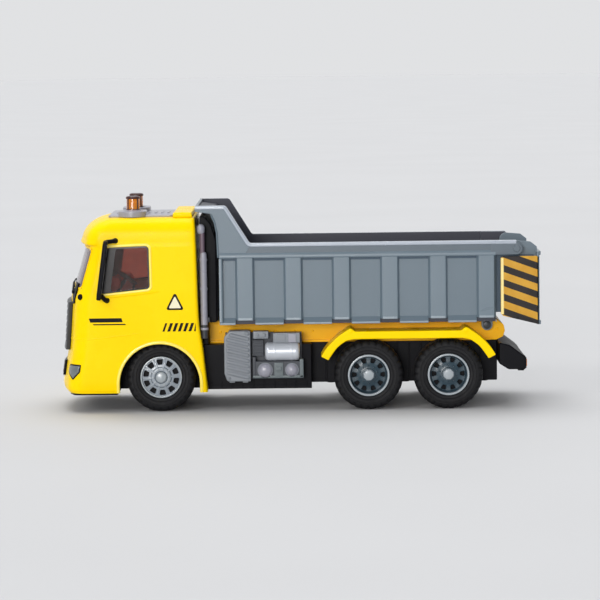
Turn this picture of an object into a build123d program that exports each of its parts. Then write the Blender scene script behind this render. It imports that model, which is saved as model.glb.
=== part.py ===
from build123d import *
import os
from math import cos, sin, radians, sqrt

os.makedirs("parts", exist_ok=True)

# ---------------------------------------------------------------------------
# Toy three-axle dump truck, millimetres.
# Frame: +X towards the cab's nose, +Y to the truck's left, +Z up.
# Origin on the ground, below the middle of the truck's bounding box.
# ---------------------------------------------------------------------------

# --- wheels ----------------------------------------------------------------
WHEEL_R = 26.0            # tyre outer radius
RIM_R = 15.8              # rim outer radius, tyre inner radius
AXLE_R = 2.0              # steel rod
AXLE_CLEAR = 0.06         # running clearance of the rod in its bore
AXLE_Z = 26.0
# name, x of the axle, outer face y of the tyre, tyre width, deep dish of the rim
AXLES = [
    ("front", 104.3, 52.5, 17.0, 0.0),
    ("middle", -51.6, 56.5, 24.0, 6.5),
    ("rear", -111.5, 56.5, 24.0, 6.5),
]

# --- chassis ---------------------------------------------------------------
FRAME_HALF_W = 29.5
FRAME_Z0, FRAME_Z1 = 49.0, 66.0
FRAME_X0, FRAME_X1 = -156.0, 68.4
FRAME_WALL = 3.0
FRAME_CAV_X0, FRAME_CAV_X1 = -130.0, 65.4
PAN_WALL = 2.6
TRAY_Z1 = 15.0                                    # top of the nose tray, underside of the pan
PIVOT_X, PIVOT_Z, PIVOT_R = -142.0, 61.0, 2.0     # bed tilt pin

# --- cab -------------------------------------------------------------------
WALL = 2.2
# z, rear x, front x on the centre line, bulge of the front, half width, corner radius
CAB_ROWS = [
    (14.5, 69.3, 179.0, 5.0, 54.5, 13.0),
    (17.0, 69.6, 180.9, 5.0, 55.6, 13.5),
    (21.0, 70.0, 181.0, 5.0, 56.0, 14.0),
    (36.0, 71.5, 178.7, 5.0, 56.0, 14.0),
    (47.0, 72.6, 176.8, 5.0, 56.0, 14.0),
    (66.0, 75.3, 175.4, 5.0, 56.0, 14.0),
    (86.0, 76.0, 174.0, 5.0, 56.0, 14.0),
    (91.5, 76.1, 172.3, 5.5, 56.0, 13.5),
    (124.6, 76.8, 162.6, 6.0, 55.4, 11.5),
    (127.4, 76.9, 164.9, 5.5, 55.2, 11.5),
    (131.0, 77.0, 165.0, 5.0, 55.1, 11.5),
    (135.4, 77.1, 163.2, 5.0, 54.9, 11.5),
    (139.4, 77.3, 160.2, 5.0, 53.9, 11.5),
    (142.8, 77.6, 155.6, 5.0, 51.4, 11.0),
    (144.9, 77.9, 150.5, 5.0, 48.2, 10.0),
    (145.8, 79.0, 145.5, 5.0, 44.0, 8.0),
]
ROOF_Z = CAB_ROWS[-1][0]
ARCH_X, ARCH_Z, ARCH_R = 105.2, 21.3, 30.4
FLOOR_Z = 58.0
# corners of the side window (x, z)
SIDE_WINDOW = [(143.0, 124.3), (112.0, 125.3), (111.6, 93.2), (149.9, 89.4)]
WINDSHIELD = [(-43.0, 94.0), (43.0, 94.0), (43.0, 122.8), (-43.0, 122.8)]   # (y, z)

# --- bed -------------------------------------------------------------------
BED_X0, BED_X1 = -147.3, 59.6          # rear end of the ribbed walls, front face
BED_TAIL_X = -176.0                    # floor and inner walls run on inside the tailgate
PANEL_Y, RIB_Y, RAIL_Y = 54.0, 57.0, 57.5
RAIL_Z0, RAIL_Z1 = 115.0, 126.3
SKIRT_Z, RIB_BOTTOM = 68.8, 68.8
LIP_Z0, LIP_Z1 = 65.2, 70.0               # flared lip below each recess
FLOOR_UNDER, FLOOR_TOP = 72.0, 74.4
RIB_PITCH, RIB_FIRST, RIB_COUNT = 36.1, 40.3, 6
RIB_BASE, RIB_TOP = 14.6, 11.4         # rib width at the panel and at its face
# outline of the head wall's outer side, from the rail up to the tip (x, z)
HEAD_OUTER = [(59.6, 113.7), (60.4, 134.5), (62.0, 142.7), (64.9, 148.6), (77.1, 150.4)]
CANOPY_TOP = 154.6

# --- tailgate --------------------------------------------------------------
GATE_X, GATE_Z, GATE_R = -163.0, 120.1, 2.0       # its top hinge
CHEEK_X0, CHEEK_X1 = -151.5, -179.9
CHEEK_TOP, CHEEK_FRONT_LOW, CHEEK_REAR_LOW = 114.4, 70.0, 63.0


def save(piece, name):
    piece.part.label = name
    export_step(piece.part, "parts/" + name + ".step")


def cab_body(inset, drop_bottom):
    """Closed block in the cab's shape, its faces moved in by inset."""
    with BuildPart() as body:
        for i, (z, xr, xf, bulge, w, r) in enumerate(CAB_ROWS):
            if i == 0:
                z -= drop_bottom
            if i >= len(CAB_ROWS) - 4:
                z -= inset
            xr, xf, w, r = xr + inset, xf - inset, w - inset, max(r - inset, 1.0)
            xn = xf - bulge                 # front x where the corner arc starts
            xc, yc = xn - r, w - r          # centre of the corner arc
            k = r * cos(radians(45))
            with BuildSketch(Plane.XY.offset(z)):
                with BuildLine():
                    Line((xr, -w), (xc, -w))
                    ThreePointArc((xc, -w), (xc + k, -yc - k), (xn, -yc))
                    ThreePointArc((xn, -yc), (xf, 0), (xn, yc))
                    ThreePointArc((xn, yc), (xc + k, yc + k), (xc, w))
                    Line((xc, w), (xr, w))
                    Line((xr, w), (xr, -w))
                make_face()
        loft(ruled=True)
    return body.part


# ===========================================================================
# wheels: rod, two rims and two tyres for each axle
# ===========================================================================
for name, ax, y_out, width, dish in AXLES:
    with BuildPart() as rod:
        with BuildSketch(Plane.XZ.offset(-(y_out - 6.0))):
            with Locations((ax, AXLE_Z)):
                Circle(AXLE_R)
        extrude(amount=2 * (y_out - 6.0))
    save(rod, name + "_axle")

    with BuildPart() as tyres:
        for side in (1, -1):
            with BuildSketch(Plane(origin=(ax, 0, AXLE_Z), x_dir=(0, side, 0), z_dir=(1, 0, 0))):
                # u runs outwards along the axle, v is the radius
                u0, u1 = y_out - width, y_out
                sh = 2.6
                with BuildLine():
                    Polyline((u0, RIM_R + 1.6), (u0, WHEEL_R - sh), (u0 + sh, WHEEL_R),
                             (u1 - sh, WHEEL_R), (u1, WHEEL_R - sh), (u1, RIM_R + 1.6),
                             (u1 - 1.2, RIM_R), (u0 + 1.2, RIM_R), close=True)
                make_face()
            revolve(axis=Axis((ax, 0, AXLE_Z), (0, 1, 0)), mode=Mode.ADD)
    save(tyres, name + "_tyres")

    with BuildPart() as rims:
        for side in (1, -1):
            with BuildSketch(Plane(origin=(ax, 0, AXLE_Z), x_dir=(0, side, 0), z_dir=(1, 0, 0))):
                u0, u1 = y_out - width, y_out
                with BuildLine():
                    if dish == 0.0:
                        # convex disc that stands a little proud at the hub
                        Polyline((u0 + 1.2, RIM_R), (u1 - 1.2, RIM_R), (u1 + 0.2, RIM_R - 0.5),
                                 (u1 + 0.2, RIM_R - 1.9), (u1 - 1.6, RIM_R - 2.4),
                                 (u1 - 0.4, 8.6), (u1 + 0.6, 7.0), (u1 + 0.6, 4.4),
                                 (u1 + 2.0, 3.6), (u1 + 2.2, 0), (u1 - 6.0, 0),
                                 (u1 - 6.0, AXLE_R), (u0 + 1.2, AXLE_R), (u0 + 1.2, 5.0),
                                 (u1 - 5.0, 5.0), (u1 - 4.2, RIM_R - 2.4),
                                 (u0 + 1.2, RIM_R - 2.0), close=True)
                    else:
                        # deep disc with a hub that comes back out
                        Polyline((u0 + 1.2, RIM_R), (u1 - 1.2, RIM_R), (u1 + 0.2, RIM_R - 0.4),
                                 (u1 + 0.2, RIM_R - 2.0), (u1 - dish, RIM_R - 3.2),
                                 (u1 - dish, 6.2), (u1 - dish + 1.2, 4.9), (u1 - 1.2, 4.6),
                                 (u1 - 0.6, 4.0), (u1 - 0.6, 0), (u1 - 6.0, 0),
                                 (u1 - 6.0, AXLE_R), (u0 + 1.2, AXLE_R), (u0 + 1.2, 5.0),
                                 (u1 - dish - 3.0, 5.0), (u1 - dish - 3.0, RIM_R - 2.4),
                                 (u0 + 1.2, RIM_R - 2.0), close=True)
                make_face()
            revolve(axis=Axis((ax, 0, AXLE_Z), (0, 1, 0)), mode=Mode.ADD)
        # ten hand holes through each disc
        for side in (1, -1):
            with BuildSketch(Plane(origin=(ax, side * (y_out + 1.0), AXLE_Z),
                                   x_dir=(1, 0, 0), z_dir=(0, -side, 0))):
                with PolarLocations(11.4 if dish == 0.0 else 11.0, 10, start_angle=18):
                    Circle(1.75)
            extrude(amount=11.5, mode=Mode.SUBTRACT)
    save(rims, name + "_rims")

# ===========================================================================
# chassis
# ===========================================================================
with BuildPart() as chassis_frame:
    with BuildSketch(Plane.XZ.offset(-FRAME_HALF_W)):
        with BuildLine():
            Polyline((FRAME_X1, FRAME_Z1), (FRAME_X1, FRAME_Z0), (-149.5, FRAME_Z0),
                     (-154.5, 51.5), (FRAME_X0, 56.0), (-155.0, 60.5), (-150.0, 64.5),
                     (-146.0, FRAME_Z1), close=True)
        make_face()
    extrude(amount=2 * FRAME_HALF_W)
    # channel section, open below, solid round the tilt pin
    with BuildSketch(Plane.XY.offset(FRAME_Z0)):
        with Locations(((FRAME_CAV_X0 + FRAME_CAV_X1) / 2, 0)):
            Rectangle(FRAME_CAV_X1 - FRAME_CAV_X0, 2 * (FRAME_HALF_W - FRAME_WALL))
    extrude(amount=FRAME_Z1 - FRAME_Z0 - FRAME_WALL, mode=Mode.SUBTRACT)
    # bore for the tilt pin
    with BuildSketch(Plane.XZ.offset(-FRAME_HALF_W - 2)):
        with Locations((PIVOT_X, PIVOT_Z)):
            Circle(PIVOT_R + AXLE_CLEAR)
    extrude(amount=2 * FRAME_HALF_W + 4, mode=Mode.SUBTRACT)
save(chassis_frame, "chassis_frame")

BAT_X0, BAT_X1, BAT_Y = -6.0, 52.0, 24.0
with BuildPart() as chassis_pan:
    # front block under the cab, middle block, rear block: x0, x1, half width, z0, z1
    for x0, x1, hw, z0, z1 in [(74.0, 165.0, 30.0, TRAY_Z1, FLOOR_Z),
                               (-9.0, 74.0, 40.0, TRAY_Z1, FRAME_Z0),
                               (-150.0, -9.0, 27.5, 18.0, FRAME_Z0)]:
        with BuildSketch(Plane.XY.offset(z0)):
            with Locations(((x0 + x1) / 2, 0)):
                Rectangle(x1 - x0, 2 * hw)
        extrude(amount=z1 - z0)
    # inside of the tray, open at the top, where the frame and the cab floor close it
    for x0, x1, hw, z0, z1 in [(74.0 + PAN_WALL, 165.0 - PAN_WALL, 30.0 - PAN_WALL, TRAY_Z1 + PAN_WALL, FLOOR_Z),
                               (-9.0 + PAN_WALL, 74.0 - PAN_WALL, 27.0, 17.0 + PAN_WALL, FRAME_Z0),
                               (-150.0 + PAN_WALL, -9.0 - PAN_WALL, 27.5 - PAN_WALL, 18.0 + PAN_WALL, FRAME_Z0)]:
        with BuildSketch(Plane.XY.offset(z0)):
            with Locations(((x0 + x1) / 2, 0)):
                Rectangle(x1 - x0, 2 * hw)
        extrude(amount=z1 - z0, mode=Mode.SUBTRACT)
    # battery bay in the bottom
    with BuildSketch(Plane.XY.offset(14.0)):
        with Locations(((BAT_X0 + BAT_X1) / 2, 0)):
            Rectangle(BAT_X1 - BAT_X0, 2 * BAT_Y)
    extrude(amount=3.0, mode=Mode.SUBTRACT)
    # running bores of the three axles
    for name, ax, y_out, width, dish in AXLES:
        with BuildSketch(Plane.XZ.offset(-45)):
            with Locations((ax, AXLE_Z)):
                Circle(AXLE_R + AXLE_CLEAR)
        extrude(amount=90, mode=Mode.SUBTRACT)
save(chassis_pan, "chassis_pan")

with BuildPart() as nose_tray:
    with BuildSketch(Plane.XY.offset(12.6)):
        with Locations((153.4, 0)):
            Rectangle(32.8, 98.0)
        with Locations((160.0, 0)):
            Rectangle(27.4, 76.0)
    extrude(amount=TRAY_Z1 - 12.6)
save(nose_tray, "nose_tray")

with BuildPart() as battery_cover:
    with BuildSketch(Plane.XY.offset(15.2)):
        with Locations(((BAT_X0 + BAT_X1) / 2, 0)):
            RectangleRounded(BAT_X1 - BAT_X0 - 0.4, 2 * BAT_Y - 0.4, 2.0)
    extrude(amount=1.8)
    with BuildSketch(Plane.XY.offset(15.2)):
        with Locations((BAT_X1 - 5.0, 0)):
            Circle(1.4)
    extrude(amount=1.8, mode=Mode.SUBTRACT)
save(battery_cover, "battery_cover")

# rear fenders: outline of one half, mirrored about the middle between the axles
FENDER_MID = (AXLES[1][1] + AXLES[2][1]) / 2
FENDER_OUT = [(-16.0, 40.5), (-20.4, 47.2), (-28.2, 55.0), (-35.2, 60.0), (-38.2, 61.6),
              (-41.6, 59.2)]
FENDER_IN = [(-41.1, 53.4), (-33.8, 51.4), (-28.2, 47.1), (-22.5, 39.5), (-21.6, 37.7)]
FENDER_CAP = [(-41.6, 56.9), (-35.0, 57.4), (-28.8, 52.9), (-22.2, 46.0), (-18.2, 39.6)]


def mirrored(points):
    return [(2 * FENDER_MID - x, z) for x, z in reversed(points)]


for side, name in ((1, "left_fender"), (-1, "right_fender")):
    with BuildPart() as fender:
        # lip along the outer side
        lip = FENDER_OUT + mirrored(FENDER_OUT) + \
            [(2 * FENDER_MID - x, z) for x, z in reversed(FENDER_IN)] + FENDER_IN
        with BuildSketch(Plane(origin=(0, side * 54.6, 0), x_dir=(1, 0, 0), z_dir=(0, -1, 0))):
            with BuildLine():
                Polyline(*lip, close=True)
            make_face()
        extrude(amount=-side * 2.4)
        # cover plate from the lip back to the chassis
        cap = FENDER_OUT + mirrored(FENDER_OUT) + \
            [(2 * FENDER_MID - x, z) for x, z in reversed(FENDER_CAP)] + FENDER_CAP
        with BuildSketch(Plane(origin=(0, side * FRAME_HALF_W, 0), x_dir=(1, 0, 0), z_dir=(0, -1, 0))):
            with BuildLine():
                Polyline(*cap, close=True)
            make_face()
        extrude(amount=-side * (55.0 - FRAME_HALF_W))
    save(fender, name)

# black rear beam with its lamps
with BuildPart() as rear_bumper:
    with BuildSketch(Plane.XZ.offset(-50)):
        with BuildLine():
            Polyline((-150.0, 48.8), (-158.0, 47.0), (-170.0, 38.0), (-170.0, 28.5),
                     (-157.0, 28.5), (-150.0, 33.0), close=True)
        make_face()
    extrude(amount=100)
save(rear_bumper, "rear_bumper")

with BuildPart() as tail_lamps:
    for side in (1, -1):
        with BuildSketch(Plane(origin=(-170.0, side * 38.0, 33.2), x_dir=(0, 1, 0), z_dir=(-1, 0, 0))):
            RectangleRounded(18.0, 6.0, 1.2)
        extrude(amount=1.2)
save(tail_lamps, "tail_lamps")

# grey side equipment: ribbed box, tanks and valve blocks as one moulding a side
for side, name in ((1, "left_side_unit"), (-1, "right_side_unit")):
    with BuildPart() as unit:
        # x0, x1, z0, z1, y0, y1
        for x0, x1, z0, z1, y0, y1 in [
                (-3.0, 57.0, 21.7, 59.7, 40.0, 43.0),       # back plate
                (36.7, 57.0, 21.7, 60.4, 40.0, 53.0),       # ribbed box
                (23.3, 34.9, 54.0, 59.7, 42.0, 50.5),       # small block
                (-0.3, 19.9, 50.7, 58.3, 42.0, 50.5),       # long block
                (27.1, 35.7, 40.6, 52.7, 42.0, 47.0),       # dark box
                (-3.0, 35.7, 23.7, 36.8, 42.0, 50.0)]:      # lower carrier
            with BuildSketch(Plane.XY.offset(z0)):
                with Locations(((x0 + x1) / 2, side * (y0 + y1) / 2)):
                    Rectangle(x1 - x0, y1 - y0)
            extrude(amount=z1 - z0)
        # lying air tank
        with BuildSketch(Plane(origin=(-0.1, side * 47.0, 44.1), x_dir=(0, 1, 0), z_dir=(1, 0, 0))):
            Circle(7.0)
        extrude(amount=26.4)
        # two round tank ends
        for cx, cz, r in ((26.1, 30.0, 5.4), (6.0, 30.2, 4.8)):
            with BuildSketch(Plane(origin=(cx, side * 49.0, cz), x_dir=(1, 0, 0), z_dir=(0, side, 0))):
                Circle(r)
            extrude(amount=4.0, taper=18)
    save(unit, name)

# ===========================================================================
# cab
# ===========================================================================
outer_block = cab_body(0.0, 0.0)
inner_block = cab_body(WALL, 6.0)
glass_outer = cab_body(0.4, 0.0)
glass_inner = cab_body(1.9, 6.0)


with BuildPart() as window_block:
    with BuildSketch(Plane.XZ.offset(-70)) as sk:
        with BuildLine():
            Polyline(*SIDE_WINDOW, close=True)
        make_face()
        fillet(sk.vertices(), 2.6)
    extrude(amount=140)
with BuildPart() as screen_block:
    with BuildSketch(Plane(origin=(140, 0, 0), x_dir=(0, 1, 0), z_dir=(1, 0, 0))) as sk:
        with BuildLine():
            Polyline(*WINDSHIELD, close=True)
        make_face()
        fillet(sk.vertices(), 3.0)
    extrude(amount=60)

with BuildPart() as cab_shell:
    add(outer_block)
    add(inner_block, mode=Mode.SUBTRACT)
    add(window_block.part, mode=Mode.SUBTRACT)
    add(screen_block.part, mode=Mode.SUBTRACT)
    # wheel arches
    with BuildSketch(Plane.XZ.offset(-70)):
        with Locations((ARCH_X, ARCH_Z)):
            Circle(ARCH_R)
        with Locations((ARCH_X, ARCH_Z - 20)):
            Rectangle(2 * ARCH_R, 40)
    extrude(amount=140, mode=Mode.SUBTRACT)
    # way for the chassis through the back wall
    with BuildSketch(Plane.YZ.offset(60)):
        with Locations((0, 30)):
            Rectangle(82.0, 60.0)
    extrude(amount=25, mode=Mode.SUBTRACT)
save(cab_shell, "cab_shell")

with BuildPart() as windshield:
    add(glass_outer)
    add(glass_inner, mode=Mode.SUBTRACT)
    add(screen_block.part, mode=Mode.INTERSECT)
save(windshield, "windshield")

with BuildPart() as side_windows:
    add(glass_outer)
    add(glass_inner, mode=Mode.SUBTRACT)
    add(window_block.part, mode=Mode.INTERSECT)
save(side_windows, "side_windows")

with BuildPart() as cab_floor:
    with BuildSketch(Plane.XY.offset(FLOOR_Z)):
        Rectangle(400, 200)
    extrude(amount=2.0)
    add(inner_block, mode=Mode.INTERSECT)
save(cab_floor, "cab_floor")

with BuildPart() as dashboard:
    with BuildSketch(Plane.XZ.offset(-50)):
        with BuildLine():
            Polyline((168.0, 60.0), (168.0, 89.5), (150.0, 92.5), (143.0, 89.0),
                     (142.0, 82.0), (150.0, 76.0), (152.0, 60.0), close=True)
        make_face()
    extrude(amount=100)
    add(inner_block, mode=Mode.INTERSECT)
save(dashboard, "dashboard")

for side, name in ((1, "driver_seat"), (-1, "passenger_seat")):
    with BuildPart() as seat:
        with BuildSketch(Plane(origin=(0, side * 26.0 + 16.0, 0), x_dir=(1, 0, 0), z_dir=(0, -1, 0))):
            with BuildLine():
                Polyline((84.0, 60.0), (114.0, 60.0), (116.0, 74.0), (113.0, 77.0),
                         (96.0, 76.0), (91.5, 111.0), (87.0, 112.0), (81.5, 108.0), close=True)
            make_face()
        extrude(amount=32.0)
    save(seat, name)

SW_X, SW_Y, SW_Z = 131.0, 26.0, 99.0
with BuildPart() as steering_wheel:
    with BuildSketch(Plane(origin=(SW_X, SW_Y, SW_Z), x_dir=(0, 1, 0),
                           z_dir=(-sin(radians(35)), 0, cos(radians(35))))) as sk:
        Circle(9.5)
        Circle(7.4, mode=Mode.SUBTRACT)
        Rectangle(16.0, 2.2)
        Circle(2.6)
    extrude(amount=1.6)
    # column down to the dashboard
    with BuildSketch(Plane(origin=(SW_X, SW_Y, SW_Z), x_dir=(0, 1, 0),
                           z_dir=(sin(radians(55)), 0, -cos(radians(55))))):
        Circle(1.6)
    extrude(amount=14.5)
save(steering_wheel, "steering_wheel")


def skin_plate(thick, boxes):
    """Plate that lies on the cab's outside: the part of a wider block inside the boxes."""
    with BuildPart() as skin:
        for x0, x1, y0, y1, z0, z1 in boxes:
            with BuildSketch(Plane.XY.offset(z0)):
                with Locations(((x0 + x1) / 2, (y0 + y1) / 2)):
                    Rectangle(x1 - x0, y1 - y0)
            extrude(amount=z1 - z0)
        add(cab_body(-thick, 0.0), mode=Mode.INTERSECT)
        add(outer_block, mode=Mode.SUBTRACT)
    return skin


front_grille = skin_plate(3.3, [(150, 190, -35, 35, 46.0, 82.0)])
save(front_grille, "front_grille")
lower_grille = skin_plate(2.0, [(150, 190, -28, 28, 26.0, 37.5)])
save(lower_grille, "lower_grille")
headlamps = skin_plate(0.9, [(165.2, 190, 41, 70, 25.4, 36.0), (165.2, 190, -70, -41, 25.4, 36.0)])
save(headlamps, "headlamps")

wedges = skin_plate(1.4, [(150, 190, 36, 45.4, 81.5, 97.0), (150, 190, -45.4, -36, 81.5, 97.0)])
with BuildPart() as wipers:
    add(wedges)
    for y0, y1 in ((-34.0, -4.0), (4.0, 34.0)):
        with BuildSketch(Plane(origin=(173.1, 0, 90.2), x_dir=(0, 1, 0), z_dir=(0, 0, 1))):
            with Locations(((y0 + y1) / 2, 0.6)):
                Rectangle(y1 - y0, 1.8)
        extrude(amount=2.0)
    add(outer_block, mode=Mode.SUBTRACT)
save(wipers, "wipers")

# mirrors: a head on two short arms, its bar leaning as the screen pillar does
for side, name in ((1, "left_mirror"), (-1, "right_mirror")):
    with BuildPart() as mirror:
        lean = (5.9, 42.3)
        ln = sqrt(lean[0] ** 2 + lean[1] ** 2)
        head = Plane(origin=(149.4, side * 63.5, 85.8), x_dir=(0, 1, 0),
                     z_dir=(-lean[0] / ln, 0, lean[1] / ln))
        with BuildSketch(head):
            RectangleRounded(12.0, 3.6, 1.6)
        extrude(amount=44.8)
        # arm: start (x, z) on the cab's side, end (x, z) at the head
        for (xa, za), (xb, zb), yw in (((136.8, 129.0), (143.4, 129.0), 55.1),
                                       ((143.8, 84.6), (148.8, 89.6), 56.0)):
            d = ((xb - xa), side * (60.0 - yw), (zb - za))
            dl = sqrt(d[0] ** 2 + d[1] ** 2 + d[2] ** 2)
            with BuildSketch(Plane(origin=(xa, side * (yw + 0.1), za), x_dir=(0, 0, 1),
                                   z_dir=(d[0] / dl, d[1] / dl, d[2] / dl))):
                Circle(1.6)
            extrude(amount=dl + 0.6)
            with BuildSketch(Plane(origin=(xa, side * (yw + 0.05), za), x_dir=(1, 0, 0),
                                   z_dir=(0, side, 0))):
                Circle(2.2)
            extrude(amount=1.8)
        add(outer_block, mode=Mode.SUBTRACT)
    save(mirror, name)

# roof: press plate with two beacon sockets, beacons, raised rear edge
BEACON_X, BEACON_Y = 125.0, 22.0
PAD_R, PAD_END_Y = 10.6, 34.0            # long socket pads, round at both ends
with BuildPart() as roof_plate:
    with BuildSketch(Plane.XY.offset(ROOF_Z)):
        with Locations((118.7, 0)):
            RectangleRounded(48.6, 74.0, 3.0)
    extrude(amount=1.5)
    with BuildSketch(Plane.XY.offset(ROOF_Z)):
        with Locations((BEACON_X, (BEACON_Y + PAD_END_Y) / 2), (BEACON_X, -(BEACON_Y + PAD_END_Y) / 2)):
            SlotCenterToCenter(PAD_END_Y - BEACON_Y, 2 * PAD_R, rotation=90)
    extrude(amount=4.6)
save(roof_plate, "roof_plate")

with BuildPart() as beacons:
    with BuildSketch(Plane.XY.offset(ROOF_Z + 4.6)):
        with Locations((BEACON_X, BEACON_Y), (BEACON_X, -BEACON_Y)):
            Circle(5.6)
    extrude(amount=10.8, taper=2)
    fillet(beacons.edges().group_by(Axis.Z)[-1], 1.2)
save(beacons, "beacons")

with BuildPart() as roof_box:
    with BuildSketch(Plane.XZ.offset(-45)):
        with BuildLine():
            Polyline((79.2, ROOF_Z), (94.2, ROOF_Z), (93.8, 149.4), (79.8, 149.4), close=True)
        make_face()
    extrude(amount=90)
save(roof_box, "roof_box")

# behind the cab
with BuildPart() as exhaust_stacks:
    for side in (1, -1):
        # x, radius, z0, z1
        for px, r, z0, z1 in ((71.4, 2.6, 54.6, 119.6), (72.1, 2.0, 119.0, 135.0)):
            with BuildSketch(Plane.XY.offset(z0)):
                with Locations((px, side * 49.0)):
                    Circle(r)
            extrude(amount=z1 - z0)
        with BuildSketch(Plane.XY.offset(133.6)):
            with Locations((72.9, side * 49.0)):
                Circle(3.0)
        extrude(amount=7.2)
        # foot that ties the pipe to the black tower
        with BuildSketch(Plane.XY.offset(66.5)):
            with Locations((70.0, side * 45.0)):
                Rectangle(6.0, 6.0)
        extrude(amount=4.0)
save(exhaust_stacks, "exhaust_stacks")

with BuildPart() as rear_tower:
    with BuildSketch(Plane.XZ.offset(-42)):
        with BuildLine():
            Polyline((62.0, 66.0), (68.6, 66.0), (68.6, 49.0), (72.2, 49.0), (74.2, 66.0), (74.2, 146.4), (70.0, 145.4), (65.6, 140.0),
                     (62.0, 128.0), close=True)
        make_face()
    extrude(amount=84)
save(rear_tower, "rear_tower")

# ===========================================================================
# bed
# ===========================================================================
WALL_POLY = [(BED_X1, SKIRT_Z), (BED_X0, SKIRT_Z), (BED_X0, RAIL_Z1), (36.5, RAIL_Z1),
             (54.1, CANOPY_TOP), (HEAD_OUTER[-1][0], CANOPY_TOP)] + HEAD_OUTER[::-1]
RAIL_POLY = [(BED_X1, RAIL_Z0), (BED_X0, RAIL_Z0), (BED_X0, RAIL_Z1), (36.5, RAIL_Z1),
             (54.1, CANOPY_TOP), (HEAD_OUTER[-1][0], CANOPY_TOP)] + HEAD_OUTER[:0:-1]

with BuildPart() as bed_tub:
    for side in (1, -1):
        # side wall
        with BuildSketch(Plane(origin=(0, side * (PANEL_Y - WALL), 0), x_dir=(1, 0, 0), z_dir=(0, -1, 0))):
            with BuildLine():
                Polyline(*WALL_POLY, close=True)
            make_face()
        extrude(amount=-side * WALL)
        # top rail and the side of the canopy, one thickness further out
        with BuildSketch(Plane(origin=(0, side * PANEL_Y, 0), x_dir=(1, 0, 0), z_dir=(0, -1, 0))):
            with BuildLine():
                Polyline(*RAIL_POLY, close=True)
            make_face()
        extrude(amount=-side * (RAIL_Y - PANEL_Y))
        # inner wall that runs on inside the tailgate, and the rail's arm above it
        with BuildSketch(Plane.XY.offset(FLOOR_UNDER)):
            with Locations(((BED_X0 + BED_TAIL_X) / 2, side * 49.4)):
                Rectangle(BED_X0 - BED_TAIL_X, 2.2)
            with Locations((BED_X0 + 1.1, side * 51.0)):
                Rectangle(2.2, 4.0)
        extrude(amount=115.0 - FLOOR_UNDER)
        with BuildSketch(Plane(origin=(0, side * 50.5, 0), x_dir=(1, 0, 0), z_dir=(0, -1, 0))):
            with BuildLine():
                Polyline((BED_X0 + 4.0, RAIL_Z0 + 0.5), (BED_X0 + 4.0, RAIL_Z1), (GATE_X + 1.6, RAIL_Z1),
                         (GATE_X - 2.6, 123.8), (GATE_X, GATE_Z), (GATE_X, RAIL_Z0 + 0.5), close=True)
            make_face()
            with Locations((GATE_X, GATE_Z)):
                Circle(4.6)
        extrude(amount=-side * 7.0)
        # ribs
        for i in range(RIB_COUNT):
            xc = RIB_FIRST - i * RIB_PITCH
            with BuildSketch(Plane.XY.offset(RIB_BOTTOM)):
                with BuildLine():
                    Polyline((xc - RIB_BASE / 2, side * (PANEL_Y - 0.6)), (xc - RIB_BASE / 2, side * PANEL_Y),
                             (xc - RIB_TOP / 2, side * RIB_Y), (xc + RIB_TOP / 2, side * RIB_Y),
                             (xc + RIB_BASE / 2, side * PANEL_Y), (xc + RIB_BASE / 2, side * (PANEL_Y - 0.6)),
                             close=True)
                make_face()
            extrude(amount=RAIL_Z0 - RIB_BOTTOM)
        # corner post at the front
        with BuildSketch(Plane.XY.offset(SKIRT_Z)):
            with Locations((BED_X1 - 1.4, side * (PANEL_Y + 1.2))):
                Rectangle(2.8, 3.6)
        extrude(amount=RAIL_Z0 - SKIRT_Z)
        # lip below each recess, between the ribs
        edges = [BED_X1] + [RIB_FIRST - i * RIB_PITCH + s * RIB_BASE / 2
                            for i in range(RIB_COUNT) for s in (1, -1)] + [BED_X0]
        for x1, x0 in zip(edges[0::2], edges[1::2]):
            with BuildSketch(Plane(origin=(x0, 0, 0), x_dir=(0, side, 0), z_dir=(1, 0, 0))) as lip:
                with BuildLine():
                    Polyline((PANEL_Y - WALL, LIP_Z0 * side), (RIB_Y - 0.4, LIP_Z0 * side),
                             (RIB_Y - 0.4, (LIP_Z0 + 1.4) * side), (PANEL_Y, LIP_Z1 * side),
                             (PANEL_Y - WALL, LIP_Z1 * side), close=True)
                make_face()
            extrude(amount=x1 - x0)
        # long sill that rests on the chassis
        with BuildSketch(Plane.XY.offset(FRAME_Z1 + 0.3)):
            with Locations((-38.0, side * 22.0)):
                Rectangle(176.0, 6.0)
        extrude(amount=FLOOR_UNDER - FRAME_Z1)
        # lug for the tilt pin
        with BuildSketch(Plane(origin=(0, side * 31.6, 0), x_dir=(1, 0, 0), z_dir=(0, -1, 0))):
            with Locations((PIVOT_X, PIVOT_Z)):
                Circle(4.2)
            with Locations((PIVOT_X, (PIVOT_Z + FLOOR_UNDER + 1) / 2)):
                Rectangle(8.4, FLOOR_UNDER + 1 - PIVOT_Z)
        extrude(amount=-side * 3.6)
    # floor
    with BuildSketch(Plane.XY.offset(FLOOR_UNDER)):
        with Locations(((BED_X1 - 1 + BED_X0) / 2, 0)):
            Rectangle(BED_X1 - 1 - BED_X0, 2 * (PANEL_Y - 0.5))
        with Locations(((BED_X0 + BED_TAIL_X) / 2, 0)):
            Rectangle(BED_X0 - BED_TAIL_X, 2 * 50.5)
    extrude(amount=FLOOR_TOP - FLOOR_UNDER)
    # head wall that leans forward into the canopy
    with BuildSketch(Plane.XZ.offset(-PANEL_Y + 0.5)):
        with BuildLine():
            Polyline((BED_X1, SKIRT_Z), *HEAD_OUTER, (77.1, CANOPY_TOP), (74.9, CANOPY_TOP), (74.9, 152.4),
                     (63.4, 150.8), (60.0, 143.6), (58.2, 134.7), (57.4, 113.7), (57.4, SKIRT_Z), close=True)
        make_face()
    extrude(amount=2 * (PANEL_Y - 0.5))
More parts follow.
